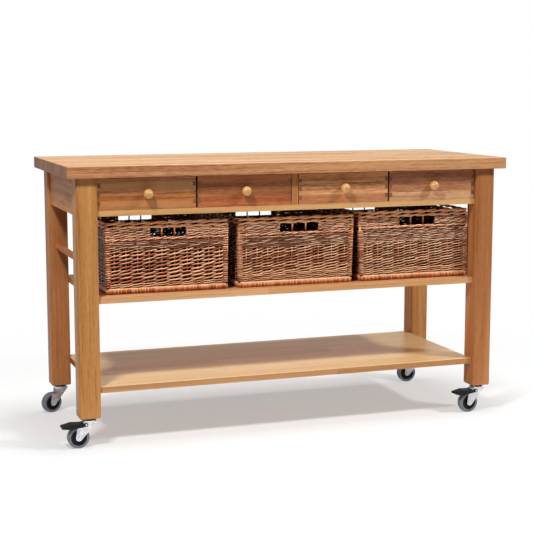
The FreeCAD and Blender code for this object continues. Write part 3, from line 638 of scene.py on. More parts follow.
@dataclass
class Weave:
    """Vertices, faces and rod attributes of a mesh that grows piece by piece."""

    # Painted shade in a rod's creases, and how much paler its inner side is.
    sharp_crease: float = 0.8
    under_crease: float = 0.2
    inner_paleness: float = 0.3
    vertices: list[np.ndarray] = field(default_factory=list)
    quads: list[np.ndarray] = field(default_factory=list)
    tones: list[np.ndarray] = field(default_factory=list)
    warmths: list[np.ndarray] = field(default_factory=list)
    runs: list[np.ndarray] = field(default_factory=list)
    count: int = 0

    def tubes(self, rings: np.ndarray, tones: np.ndarray, runs: np.ndarray, closed: bool,
              warmth: float, crease: float = 0.0) -> None:
        """Adds tubes given as rings of points.

        Each tube is a grid of two parameters, the ring number and the place round the ring. Faces
        join neighbours in both. An open tube's ends shrink to its middle line, which closes them.
        At the angle t round the ring a rod loses crease times the sum of sharp_crease sin^4 t,
        under_crease sin t and a negative share of max(0, -cos t) of its tone: painted shade darkens
        it where it lies against its neighbours, more below than above, and its inner side is paler.

        Args:
            rings: Points as tube, ring, place round the ring, axis.
            tones: Tone of each ring of each tube.
            runs: Distance along the rod of each ring of each tube.
            closed: Whether the last ring joins the first.
            warmth: How orange the rods are, from 0 to 1.
            crease: How much painted shade darkens the rods in their creases.
        """
        if not closed:
            rings, tones, runs = (np.concatenate([grid[:, :1], grid, grid[:, -1:]], axis=1)
                                  for grid in (rings, tones, runs))
            rings[:, [0, -1]] = rings[:, [0, -1]].mean(axis=2, keepdims=True)
        index = np.arange(rings.size // 3).reshape(rings.shape[:3]) + self.count
        following = np.roll(index, -1, axis=1)
        if not closed:
            index, following = index[:, :-1], following[:, :-1]
        corners = (index, np.roll(index, -1, axis=2), np.roll(following, -1, axis=2), following)
        self.quads.append(np.stack(corners, axis=-1).reshape(-1, 4))
        self.vertices.append(rings.reshape(-1, 3))
        turn = ring_angles(rings.shape[2])
        # Painted shade in the creases above and below a rod; its inner side is paler.
        pressed = self.sharp_crease * np.sin(turn) ** 4 + self.under_crease * np.sin(turn)
        shade = pressed - self.inner_paleness * np.maximum(0, -np.cos(turn))
        self.tones.append((tones[..., None] - crease * shade).reshape(-1))
        self.runs.append(np.repeat(runs.reshape(-1), len(turn)))
        self.warmths.append(np.full(rings.size // 3, warmth))
        self.count += rings.size // 3

    def to_object(self, name: str) -> bpy.types.Object:
        """The mesh as a smooth object at the origin.

        Args:
            name: The piece's name.

        Returns:
            The linked object, with its tone, warmth and run attributes.
        """
        vertices = np.concatenate(self.vertices)
        quads = np.concatenate(self.quads)
        mesh = bpy.data.meshes.new(name)
        mesh.vertices.add(len(vertices))
        mesh.vertices.foreach_set("co", vertices.astype(np.float32).ravel())
        mesh.loops.add(quads.size)
        mesh.loops.foreach_set("vertex_index", quads.astype(np.int32).ravel())
        mesh.polygons.add(len(quads))
        mesh.polygons.foreach_set("loop_start", np.arange(0, quads.size, 4, dtype=np.int32))
        mesh.polygons.foreach_set("use_smooth", np.ones(len(quads), dtype=bool))
        mesh.update(calc_edges=True)
        for label, values in (("tone", self.tones), ("warmth", self.warmths), ("run", self.runs)):
            attribute = mesh.attributes.new(label, "FLOAT", "POINT")
            attribute.data.foreach_set("value", np.concatenate(values).astype(np.float32))
        mesh.validate()
        return link_object(name, mesh)


def link_object(name: str, data: bpy.types.ID) -> bpy.types.Object:
    """A new object of the scene.

    Args:
        name: Its name.
        data: Its mesh, lamp or camera.

    Returns:
        The object, at the origin.
    """
    made = bpy.data.objects.new(name, data)
    bpy.context.scene.collection.objects.link(made)
    return made


@dataclass(frozen=True)
class RoundedLoop:
    """Closed path round a rectangle with round corners, seen from above, from the front's middle.

    The path turns from angle 0 on the front to a full turn. At distance s the direction angle a
    and the corner centre c are straight-line functions of s between the corners' ends, and the
    point is c + r (sin a, -cos a). The outward normal is (sin a, -cos a).
    """

    half_x: float
    half_y: float
    radius: float

    def knots(self) -> tuple[np.ndarray, np.ndarray, np.ndarray, np.ndarray]:
        """Where the path changes between straight and round.

        Returns:
            Distance, direction angle and corner centre's X and Y there.
        """
        flat_x, flat_y = self.half_x - self.radius, self.half_y - self.radius
        arc = self.radius * QUARTER_TURN
        steps = [0, flat_x, arc, 2 * flat_y, arc, 2 * flat_x, arc, 2 * flat_y, arc, flat_x]
        angles = np.array([0, 0, 1, 1, 2, 2, 3, 3, 4, 4]) * QUARTER_TURN
        centre_x = np.array([0, 1, 1, 1, 1, -1, -1, -1, -1, 0]) * flat_x
        centre_y = np.array([-1, -1, -1, 1, 1, 1, 1, -1, -1, -1]) * flat_y
        return np.cumsum(steps), angles, centre_x, centre_y

    def length(self) -> float:
        """Length of the whole path."""
        return float(self.knots()[0][-1])

    def at(self, distance: np.ndarray) -> tuple[np.ndarray, np.ndarray]:
        """Points and outward normals at distances along the path.

        Args:
            distance: Distances, taken round the path.

        Returns:
            Points and normals, each with a last axis of three.
        """
        knots, *bends = self.knots()
        s = np.mod(distance, knots[-1])
        angle, centre_x, centre_y = (np.interp(s, knots, bend) for bend in bends)
        level = np.zeros_like(s)
        normal = np.stack([np.sin(angle), -np.cos(angle), level], axis=-1)
        return np.stack([centre_x, centre_y, level], axis=-1) + self.radius * normal, normal

    def corners(self) -> np.ndarray:
        """Distances to the middles of the corners.

        Returns:
            Four distances, from the right front corner on.
        """
        first = self.half_x - self.radius + self.radius * QUARTER_TURN / 2
        half = self.length() / 2
        return np.array([first, half - first, half + first, 2 * half - first])


def even_levels(low: float, high: float, pitch: float) -> np.ndarray:
    """Heights of rows that fill the space between two heights.

    Args:
        low: Where the rows start.
        high: Where they end.
        pitch: Distance between rows, which is rounded to a whole number of rows.

    Returns:
        The middle height of each row.
    """
    count = max(1, round((high - low) / pitch))
    return low + (high - low) * (np.arange(count) + 0.5) / count


@dataclass(frozen=True)
class Twine:
    """How rows of two rods are twined.

    The fields are the half height of a rod, how far it climbs at a crossing, its lowest and highest
    tone, its warmth, and how far a row's crossings have slipped along the wall at most.
    """

    rod: float
    rise: float
    tones: Span
    warmth: float
    slip: float = 0.0


@dataclass(frozen=True)
class Rope:
    """A band of twisted strands.

    The fields are the length of a turn, the half width and half height of the twist, the radius and
    number of the strands, their lowest and highest tone, their warmth, and how dark the painted shade in
    their creases is.
    """

    lay: float
    wide: float
    tall: float
    radius: float
    strands: int
    tones: Span
    warmth: float
    crease: float


@dataclass(frozen=True)
class RowPlan:
    """How one basket's wall is woven: its open rows from the foot up, and its handle holes."""

    open_low: float
    open_pitch: float
    open_rows: int
    open_twine: Twine
    hole_width: float
    front_shift: float
    back_shift: float
    foot_shift: float
    close_tone: float
    foot_tone: float
    close_pitch: float = 5.6 * MM
    close_rod: float = 2.1 * MM
    close_squeeze: float = 0.8
    close_below: float = 0.2
    close_above: float = 0.6
    close_warmth: float = 0.35
    beside_tones: Span = (0.3, 1.15)
    beside_warmth: float = 0.55
    under_tones: Span = (0.2, 0.6)
    under_warmth: float = 0.5

    def open_levels(self) -> np.ndarray:
        """Heights of the open rows."""
        return self.open_low + self.open_pitch * (np.arange(self.open_rows) + 0.5)

    def open_top(self) -> float:
        """Height where the open rows end."""
        return self.open_low + self.open_pitch * self.open_rows


@dataclass
class WillowBasket:
    """One basket, twined of willow rods in the box of its plain solid.

    A run shifts neighbouring rods along their grain, so that their tones don't wander alike.
    """

    number: int
    seed: int
    plan: RowPlan
    wall_inset: float = 6.5 * MM
    taper: float = 5.5 * MM
    corner_radius: float = 3.0 * MM
    stake_pitch: float = 41.0 * MM
    corner_gap: float = 27.0 * MM
    stake_radius: float = 1.5 * MM
    open_stake_radius: float = 2.0 * MM
    post_radius: float = 4.5 * MM
    hole_post_radius: float = 2.6 * MM
    stake_tones: Span = (0.2, 0.4)
    open_stake_tones: Span = (0.45, 0.7)
    post_tones: Span = (0.3, 0.5)
    hole_post_tones: Span = (0.45, 0.65)
    hole_panels: int = 3
    jamb_out: float = 3.2 * MM
    swing: float = 3.6 * MM
    crossing: float = 2.2
    rod_spread: Span = (0.85, 1.12)
    rod_flatness: float = 0.87
    rod_length: float = 0.42
    rod_run: float = 3.7
    # Painted shade: how much darker a rod is where it runs behind, and on the basket's two sides.
    back_shade: float = 0.4
    side_shade: float = 0.4
    # Painted shade in the rods' creases.
    crease: float = 0.9
    foot_height: float = 21.0 * MM
    foot_wide: float = 4.6 * MM
    foot_swell: float = 1.7 * MM
    foot_groove: float = 1.4 * MM
    rib_pitch: float = 5.2 * MM
    rib_samples: int = 6
    rib_spread: float = 0.25
    rib_warmth: float = 0.9
    groove_shade: float = 0.7
    base_pitch: float = 7.0 * MM
    base_twine: Twine = Twine(2.3 * MM, 1.7 * MM, (0.4, 1.1), 0.8)
    waling_height: float = 12.5 * MM
    waling: Rope = Rope(84 * MM, 3.0 * MM, 2.8 * MM, 3.0 * MM, 3, (0.45, 1.0), 0.8, 0.9)
    border_height: float = 24.0 * MM
    border: Rope = Rope(92 * MM, 3.3 * MM, 2.6 * MM, 3.1 * MM, 2, (1.35, 2.1), 0.85, 0.315)
    border_levels: Span = (0.25, 0.75)
    strand_samples: int = 16
    strand_length: float = 0.25
    strand_spread: float = 0.25
    strand_stray: float = 0.3
    strand_run: float = 5.3
    handle_height: float = 27.0 * MM
    handle_back_height: float = 15.0 * MM
    wrap_pitch: float = 0.6
    wrap_reach: Span = (13.0 * MM, 17.0 * MM)
    wrap_jitter: float = 0.4 * MM
    wrap_out: float = 4.2 * MM
    wrap_rise: float = 0.8 * MM
    wrap_wide: float = 2.1 * MM
    wrap_tall: float = 0.42
    wrap_tuck: float = 1.3
    wrap_samples: int = 13
    wrap_spread: Span = (0.8, 1.1)
    wrap_tones: Span = (0.15, 0.8)
    wrap_warmth: float = 0.8
    wrap_end_shade: float = 0.3
    wrap_run: float = 2.3
    # Half thickness and overlap of the dark sheet of painted shade in the wall.
    shade_sheet_half: float = 0.7 * MM
    shade_sheet_lap: float = 4.0 * MM
    mat_level: float = 7.0 * MM
    mat_gap: float = 2.0 * MM
    mat_pitch: float = 5.7 * MM
    mat_radius: float = 2.9 * MM
    mat_swing: float = 2.2 * MM
    mat_samples: int = 40
    mat_sides: int = 5
    mat_tones: Span = (0.25, 0.6)
    mat_warmth: float = 0.5
    mat_run: float = 2.9
    stick_pitch: float = 44.0 * MM
    stick_tone: float = 0.4
    stick_run: float = 1.7
    sticks_each_side: int = 4
    sides: int = 8
    foot_sides: int = 12
    samples: int = 9

    def __post_init__(self) -> None:
        """Reads the basket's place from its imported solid."""
        self.name = f"basket_{self.number}"
        low, high = (np.array(corner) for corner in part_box(self.name))
        shift = self.plan.foot_shift
        high[0] -= max(0.0, shift - self.taper)
        low[0] += max(0.0, -shift - self.taper)
        middle = (low + high) / 2
        self.foot = np.array([middle[0], middle[1], low[2]])
        self.total = float(high[2] - low[2])
        self.border_low = self.total - self.border_height
        self.handle_low = self.border_low - self.handle_height
        self.handle_back_low = self.border_low - self.handle_back_height
        half = (high - low) / 2 - self.wall_inset
        self.loop = RoundedLoop(float(half[0]), float(half[1]), self.corner_radius)
        self.around = self.loop.length()
        self.chance = np.random.default_rng(self.seed)
        self.corners = self.loop.corners()
        crept = shift * (self.border_height + self.handle_height / 2) / self.total
        self.holes = (self.plan.front_shift - crept, self.around / 2 - self.plan.back_shift + crept)
        self.jamb = self.plan.hole_width / 2 + self.jamb_out
        self.stakes = self.stake_places()

    def stake_places(self) -> np.ndarray:
        """Distances of the stakes along the loop.

        A stake stands in each corner, near both sides of it and beside each handle hole, and the
        stretches between these are shared out evenly. One stretch takes one more stake where the
        count would be odd, since the two rods of a row swap places at every stake and have to meet
        themselves again.

        Returns:
            Rising distances from nothing to the loop's length.
        """
        pair = np.array([-1, 1])
        front, back = np.array(self.holes)[:, None] + self.jamb * pair
        near = self.corners[:, None] + self.corner_gap * pair
        ends = [front[1], *near[0], *near[1], *back, *near[2], *near[3], *(front + self.around)]
        counts = [max(1, round((end - start) / self.stake_pitch)) for start, end in zip(ends, ends[1:])]
        counts[1] = counts[3] = counts[7] = counts[9] = 2
        counts[5] = counts[11] = self.hole_panels
        counts[2] += sum(counts) % 2
        spread = [np.linspace(start, end, count, endpoint=False)
                  for start, end, count in zip(ends, ends[1:], counts)]
        return np.sort(np.mod(np.concatenate(spread), self.around))

    def phase(self, distance: np.ndarray) -> np.ndarray:
        """Weaving phase, which grows by half a turn from stake to stake, in straight lines between."""
        places = np.concatenate([self.stakes[-2:] - self.around, self.stakes, self.stakes[:2] + self.around])
        return np.interp(distance, places, np.pi * np.arange(-2, len(self.stakes) + 2))

    def sweep(self, distance: np.ndarray, out: np.ndarray, up: np.ndarray, wide: np.ndarray,
              tall: np.ndarray, sides: int) -> np.ndarray:
        """Rings of tubes that follow the loop.

        A tube's middle line is the loop's point plus out along its normal and up along Z. A ring
        is an ellipse in the plane of the normal and Z: wide cos t along the normal, -tall sin t
        along Z. The wall leans in by the taper at the foot and by nothing at the rim, and the foot
        lies to the side of the rim by its shift.

        Args:
            distance: Place of each ring along the loop, tubes by rings.
            out: Offset of the middle line along the outward normal.
            up: Height of the middle line above the basket's foot.
            wide: Half width of the ring.
            tall: Half height of the ring.
            sides: Points round a ring.

        Returns:
            Points as tube, ring, place round the ring, axis.
        """
        points, normals = self.loop.at(distance)
        turn = ring_angles(sides)
        lift = up[..., None] - tall[..., None] * np.sin(turn)
        reach = out[..., None] + wide[..., None] * np.cos(turn) - self.taper * (1 - lift / self.total)
        ring = points[:, :, None, :] + reach[..., None] * normals[:, :, None, :]
        return ring + self.raised(lift)

    def raised(self, lift: np.ndarray) -> np.ndarray:
        """Places of the basket's middle at heights above its foot."""
        crept = self.plan.foot_shift * (1 - lift / self.total)
        return self.foot + np.stack([crept, np.zeros_like(lift), lift], axis=-1)

    def rod_tones(self, distance: np.ndarray, tones: Span, length: float) -> np.ndarray:
        """Random tones that change from rod to rod along each row, with painted shade on the basket's two
        sides.

        Args:
            distance: Place of each ring along the loop, rows by rings.
            tones: Lowest and highest tone.
            length: Length of a rod that shows.

        Returns:
            One tone for each ring.
        """
        rows = distance.shape[0]
        start = self.chance.uniform(0, length, (rows, 1))
        which = np.floor((distance + start) / length).astype(int)
        which -= which.min()
        table = self.chance.uniform(*tones, (rows, int(which.max()) + 1))
        _, normals = self.loop.at(distance)
        # Painted shade on the side walls, stronger the more a wall faces along X.
        return np.take_along_axis(table, which, axis=1) - self.side_shade * np.abs(normals[..., 0])

    def wander(self, distance: np.ndarray, size: float) -> np.ndarray:
        """Hand-made unevenness along the loop, different for each row.

        It is the mean of sines that turn 7, 12 and 19 times round the loop, each at a random phase.

        Args:
            distance: Place of each ring along the loop, rows by rings.
            size: Largest value.

        Returns:
            One offset for each ring.
        """
        turns = np.array([7, 12, 19])
        start = self.chance.uniform(0, FULL_TURN, (distance.shape[0], 1, len(turns)))
        angle = FULL_TURN * distance[..., None] / self.around * turns + start
        return size * np.sin(angle).mean(axis=-1)

    def line(self, span: Span | None) -> np.ndarray:
        """Distances of the rings of a row.

        Args:
            span: First and last distance, or nothing for the whole loop.

        Returns:
            Rising distances.
        """
        steps = len(self.stakes) * self.samples
        if span is None:
            return np.arange(steps) / steps * self.around
        return np.linspace(*span, int(steps * (span[1] - span[0]) / self.around) + 2)

    def rows(self, weave: Weave, levels: np.ndarray, twine: Twine, span: Span | None = None) -> None:
        """Twined rows: two rods that cross between stakes, one before each stake and one behind it.

        At phase p the first rod of a row stands swing cos p off the wall and rise |sin p|^c above
        the row, with the sign of sin p, and the second stands at phase p + pi. The power c keeps the
        rods level beside a stake and steep at a crossing, which leaves a lens-shaped gap at each
        stake. A rod is painted darker where it runs behind: painted shade.

        Args:
            weave: The mesh that grows.
            levels: Height of each row.
            twine: The rows' rods.
            span: First and last distance, for rows that stop at a hole.
        """
        line = self.line(span)
        rods = 2 * len(levels)
        distance = np.broadcast_to(line, (rods, len(line)))
        row = np.arange(rods)[:, None]
        slipped = np.repeat(self.chance.uniform(-twine.slip, twine.slip, (len(levels), 1)), 2, axis=0)
        phase = self.phase(distance + slipped) + np.pi * row
        before, side = np.cos(phase), np.sin(phase)
        uneven = np.repeat(self.wander(distance[::2], twine.rod / 2), 2, axis=0)
        tall = twine.rod * self.chance.uniform(*self.rod_spread, (rods, 1)) * np.ones_like(distance)
        climb = twine.rise * np.sign(side) * np.abs(side) ** self.crossing
        up = np.repeat(levels, 2)[:, None] + uneven + climb
        rings = self.sweep(distance, self.swing * before, up, self.rod_flatness * tall, tall, self.sides)
        # Painted shade where a rod runs behind, on top of the painted shade on the basket's sides.
        tone = self.rod_tones(distance, twine.tones, self.rod_length) - self.back_shade * (1 - before) / 2
        weave.tubes(rings, tone, distance + self.rod_run * row, span is None, twine.warmth, self.crease)

    def corner_wraps(self, weave: Weave, low: float, high: float) -> None:
        """Short rods wrapped round the corner posts.

        A wrap at t from -1 to 1 stands wrap_out (1 - wrap_tuck t^6) off the wall, so its ends tuck
        in, and rises by wrap_rise t.

        Args:
            weave: The mesh that grows.
            low: Height of the lowest wrap.
            high: Height of the highest.
        """
        pitch = self.wrap_pitch * self.plan.open_pitch
        heights = np.arange(low + pitch / 2, high, pitch)
        middle, level = (axis.reshape(-1, 1) for axis in np.meshgrid(self.corners, heights))
        t = np.linspace(-1, 1, self.wrap_samples)[None, :]
        distance = middle + self.chance.uniform(*self.wrap_reach, middle.shape) * t
        level = level + self.chance.normal(0, self.wrap_jitter, middle.shape)
        flat = np.ones_like(distance)
        out = self.wrap_out * (1 - self.wrap_tuck * t**6) * flat
        tall = self.wrap_tall * pitch * self.chance.uniform(*self.wrap_spread, middle.shape) * flat
        up = level + self.wrap_rise * t
        rings = self.sweep(distance, out, up, self.wrap_wide * flat, tall, self.sides)
        # Painted shade on the wrap ends, where they tuck into the wall.
        tones = self.chance.uniform(*self.wrap_tones, middle.shape) - self.wrap_end_shade * t**6
        weave.tubes(rings, tones, distance + self.wrap_run * level, False, self.wrap_warmth, self.crease)

    def rope(self, weave: Weave, height: float, rope: Rope) -> None:
        """A band of strands that twist round each other along the wall.

        Strand j stands at angle 2 pi (s / lay + j / strands) of an ellipse, wide along the normal
        and tall along Z. The lay is rounded so that a whole number of turns closes the loop. A
        strand is painted darker where it runs behind: painted shade.

        Args:
            weave: The mesh that grows.
            height: Height of the band's middle.
            rope: The band's strands.
        """
        turns = round(self.around / rope.lay)
        steps = turns * self.strand_samples
        strand = np.arange(rope.strands)[:, None]
        distance = np.broadcast_to(np.arange(steps) / steps * self.around, (rope.strands, steps))
        angle = FULL_TURN * (distance / self.around * turns + strand / rope.strands)
        thick = rope.radius * (1 + self.wander(distance, self.strand_spread))
        up = height + rope.tall * np.sin(angle) + self.wander(distance, self.strand_stray * rope.tall)
        rings = self.sweep(distance, rope.wide * np.cos(angle), up, thick, thick, self.sides)
        # Painted shade where a strand runs behind the others.
        behind = self.back_shade * (1 - np.cos(angle)) / 2
        tone = self.rod_tones(distance, rope.tones, self.strand_length) - behind
        weave.tubes(rings, tone, distance + self.strand_run * strand, True, rope.warmth, rope.crease)

    def foot_band(self, weave: Weave) -> None:
        """The wrapped foot: an upright oval band with a rib for each wrapping rod.

        The oval's half width and half height swell by the root of a rectified sine of the distance,
        one arch for each rib.

        Args:
            weave: The mesh that grows.
        """
        ribs = round(self.around / self.rib_pitch)
        steps = ribs * self.rib_samples
        distance = (np.arange(steps) / steps * self.around)[None, :]
        arch = np.sqrt(np.abs(np.sin(np.pi * distance / self.around * ribs)))
        half = np.full_like(distance, self.foot_height / 2)
        wide = self.foot_wide + self.foot_swell * arch
        tall = half - self.foot_groove + self.foot_groove * arch
        rings = self.sweep(distance, np.zeros_like(distance), half, wide, tall, self.foot_sides)
        rib = np.floor(distance / self.around * ribs).astype(int) % ribs
        spread = self.chance.uniform(-self.rib_spread, self.rib_spread, ribs)[rib]
        # Painted shade in the grooves between the ribs.
        tone = self.plan.foot_tone + spread - self.groove_shade * (1 - arch)
        weave.tubes(rings, tone, distance, True, self.rib_warmth)

    def posts(self, weave: Weave, places: np.ndarray, heights: Span, radius: float, tones: Span) -> None:
        """Upright rods in the wall.

        Args:
            weave: The mesh that grows.
            places: Distances along the loop.
            heights: Lower and upper end above the basket's foot.
            radius: Rod radius.
            tones: Lowest and highest tone.
        """
        points, normals = self.loop.at(places)
        levels = np.array(heights)
        lean = -self.taper * (1 - levels / self.total)
        turn = ring_angles(self.sides)
        circle = np.stack([np.cos(turn), np.sin(turn), np.zeros_like(turn)], axis=-1)
        middle = points[:, None, :] + lean[None, :, None] * normals[:, None, :] + self.raised(levels)
        rings = middle[:, :, None, :] + radius * circle
        tone = np.repeat(self.chance.uniform(*tones, (len(places), 1)), len(levels), axis=1)
        weave.tubes(rings, tone, levels[None, :] + np.arange(len(places))[:, None], False, 1.0)

    def uprights(self, weave: Weave) -> None:
        """The stakes from the foot to the border, the corner posts, and the rods in the handle holes.

        Args:
            weave: The mesh that grows.
        """
        whole = (self.foot_height / 2, self.border_low + self.border_height / 2)
        openwork = (self.plan.open_low, self.plan.open_top())
        self.posts(weave, self.stakes, whole, self.stake_radius, self.stake_tones)
        self.posts(weave, self.stakes, openwork, self.open_stake_radius, self.open_stake_tones)
        self.posts(weave, self.corners, whole, self.post_radius, self.post_tones)
        for middle, low in zip(self.holes, (self.handle_low, self.handle_back_low)):
            places = middle + np.linspace(-self.jamb, self.jamb, self.hole_panels + 1)
            ends = (low - self.jamb_out, self.border_low + self.jamb_out)
            self.posts(weave, places, ends, self.hole_post_radius, self.hole_post_tones)

    def hole_spans(self) -> tuple[Span, Span]:
        """The wall on each side of the handle holes.

        Returns:
            First and last distance of the right stretch and of the left one.
        """
        half = self.plan.hole_width / 2
        front, back = self.holes
        return (front + half, back - half), (back + half, self.around + front - half)

    def back_span(self) -> Span:
        """First and last distance of the back hole."""
        half = self.plan.hole_width / 2
        return self.holes[1] - half, self.holes[1] + half

    def shade_sheet(self) -> Weave:
        """A thin dark sheet of painted shade in the middle of the wall, between the rods.

        It is a flat oval tube round the loop up to the handle band, along the stretches beside the
        holes above that, and under the lower back hole.

        Returns:
            The sheet.
        """
        lapped = self.handle_low - self.shade_sheet_lap
        rim = self.total - self.border_height / 2
        strips = [(self.foot_height / 2, self.handle_low, None),
                  (lapped, self.handle_back_low, self.back_span()),
                  *((lapped, rim, span) for span in self.hole_spans())]
        weave = Weave()
        for low, high, span in strips:
            distance = self.line(span)[None, :]
            flat = np.ones_like(distance)
            rings = self.sweep(distance, 0.0 * flat, (low + high) / 2 * flat, self.shade_sheet_half * flat,
                               (high - low) / 2 * flat, self.sides)
            weave.tubes(rings, flat, distance, span is None, 0.0)
        return weave

    def floor_mat(self) -> Weave:
        """The woven bottom: rods along X that pass over and under sticks along Y.

        Rod j at distance x has the height swing cos(pi x / pitch + pi j).

        Returns:
            The bottom.
        """
        drawn = self.taper + self.mat_gap
        reach_x, reach_y = self.loop.half_x - drawn, self.loop.half_y - drawn
        centre = self.foot + np.array([self.plan.foot_shift, 0.0, 0.0])
        turn = ring_angles(self.mat_sides)
        wide, tall = self.mat_radius * np.cos(turn), self.mat_radius * np.sin(turn)
        rods = np.arange(-reach_y, reach_y, self.mat_pitch)
        x, y = np.meshgrid(np.linspace(-reach_x, reach_x, self.mat_samples), rods)
        rod = np.arange(len(rods))[:, None]
        lift = self.mat_level + self.mat_swing * np.cos(np.pi * x / self.stick_pitch + np.pi * rod)
        rings = np.broadcast_arrays(x[..., None], y[..., None] + wide, lift[..., None] + tall)
        tones = np.repeat(self.chance.uniform(*self.mat_tones, (len(rods), 1)), self.mat_samples, axis=1)
        weave = Weave()
        weave.tubes(np.stack(rings, axis=-1) + centre, tones, x + self.mat_run * rod, False, self.mat_warmth)
        sticks = np.arange(-self.sticks_each_side, self.sticks_each_side + 1) * self.stick_pitch
        x, y = np.broadcast_arrays(sticks[:, None], np.array([-reach_y, reach_y]))
        rings = np.broadcast_arrays(x[..., None] - wide, y[..., None], self.mat_level + tall)
        tones = np.full(x.shape, self.stick_tone)
        weave.tubes(np.stack(rings, axis=-1) + centre, tones, y + self.stick_run * x, False, self.mat_warmth)
        return weave

    def open_wall(self) -> Weave:
        """The open rows with the stakes and the wrapped corners.

        Returns:
            The mesh.
        """
        weave = Weave()
        self.uprights(weave)
        self.rows(weave, self.plan.open_levels(), self.plan.open_twine)
        self.corner_wraps(weave, self.foot_height, self.handle_low - self.waling_height)
        self.corner_wraps(weave, self.handle_low, self.border_low)
        return weave

    def close_wall(self) -> Weave:
        """The close rows above the open ones, and beside and under the handle holes.

        Returns:
            The mesh.
        """
        plan = self.plan
        rise = plan.close_pitch / 2 - plan.close_squeeze * plan.close_rod
        tones = (plan.close_tone - plan.close_below, plan.close_tone + plan.close_above)
        over = Twine(plan.close_rod, rise, tones, plan.close_warmth, self.stake_pitch / 2)
        beside = replace(over, tones=plan.beside_tones, warmth=plan.beside_warmth)
        under = replace(over, tones=plan.under_tones, warmth=plan.under_warmth)
        stretches = [(plan.open_top(), self.handle_low - self.waling_height, over, None),
                     *((self.handle_low, self.border_low, beside, span) for span in self.hole_spans()),
                     (self.handle_low, self.handle_back_low, under, self.back_span())]
        weave = Weave()
        for low, high, twine, span in stretches:
            self.rows(weave, even_levels(low, high, plan.close_pitch), twine, span)
        return weave

    def bands(self) -> Weave:
        """The wrapped foot, the base waling, the waling under the holes and the plaited border.

        Returns:
            The mesh.
        """
        weave = Weave()
        self.foot_band(weave)
        self.rows(weave, even_levels(self.foot_height, self.plan.open_low, self.base_pitch), self.base_twine)
        self.rope(weave, self.handle_low - self.waling_height / 2, self.waling)
        for level in self.border_levels:
            self.rope(weave, self.border_low + level * self.border_height, self.border)
        return weave

    def build(self) -> list[bpy.types.Object]:
        """Weaves the basket.

        Returns:
            The sheet of painted shade, then the open wall, the close wall, the bands and the bottom,
            which all ride with the basket.
        """
        woven = {"shade_sheet": self.shade_sheet(), "wall": self.open_wall(), "close_wall": self.close_wall(),
                 "bands": self.bands(), "bottom": self.floor_mat()}
        pieces = [weave.to_object(f"{self.name}_{part}") for part, weave in woven.items()]
        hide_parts(self.name)
        for piece in pieces:
            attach(piece, self.name)
        return pieces

    def dress(self, pieces: list[bpy.types.Object], shade: bpy.types.Material,
              willow: bpy.types.Material) -> None:
        """Gives the sheet of painted shade its dark finish and every other woven piece its willow finish.

        Args:
            pieces: The woven pieces, the sheet of painted shade first.
            shade: The painted shade between the rods.
            willow: The rods' finish.
        """
        for piece, finish in zip(pieces, [shade] + [willow] * len(pieces)):
            piece.data.materials.append(finish)
            LOG.info("%s: %d faces", piece.name, len(piece.data.polygons))


BASKET_PLANS = (
    RowPlan(open_low=34 * MM, open_pitch=12.0 * MM, open_rows=9,
            open_twine=Twine(3.1 * MM, 3.2 * MM, (0.15, 1.05), 0.8),
            hole_width=120 * MM, front_shift=2.5 * MM, back_shift=-2.0 * MM, foot_shift=0.5 * MM,
            close_tone=0.1, foot_tone=0.85),
    RowPlan(open_low=46 * MM, open_pitch=9.3 * MM, open_rows=9,
            open_twine=Twine(2.5 * MM, 3.2 * MM, (0.15, 1.05), 0.8),
            hole_width=137 * MM, front_shift=8.5 * MM, back_shift=-6.0 * MM, foot_shift=-2.5 * MM,
            close_tone=0.2, foot_tone=1.05),
    RowPlan(open_low=42 * MM, open_pitch=8.8 * MM, open_rows=10,
            open_twine=Twine(2.4 * MM, 3.1 * MM, (0.25, 1.05), 0.62),
            hole_width=134 * MM, front_shift=13.0 * MM, back_shift=-19.0 * MM, foot_shift=6.5 * MM,
            close_tone=0.4, foot_tone=0.95),
)


def dress_node(node: str, finish: bpy.types.Material) -> None:
    """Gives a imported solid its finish.

    Args:
        node: Name of the solid's node.
        finish: The material.
    """
    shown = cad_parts[node]
    shown.data.materials.clear()
    shown.data.materials.append(finish)
    LOG.info("%s: %s", node, finish.name)


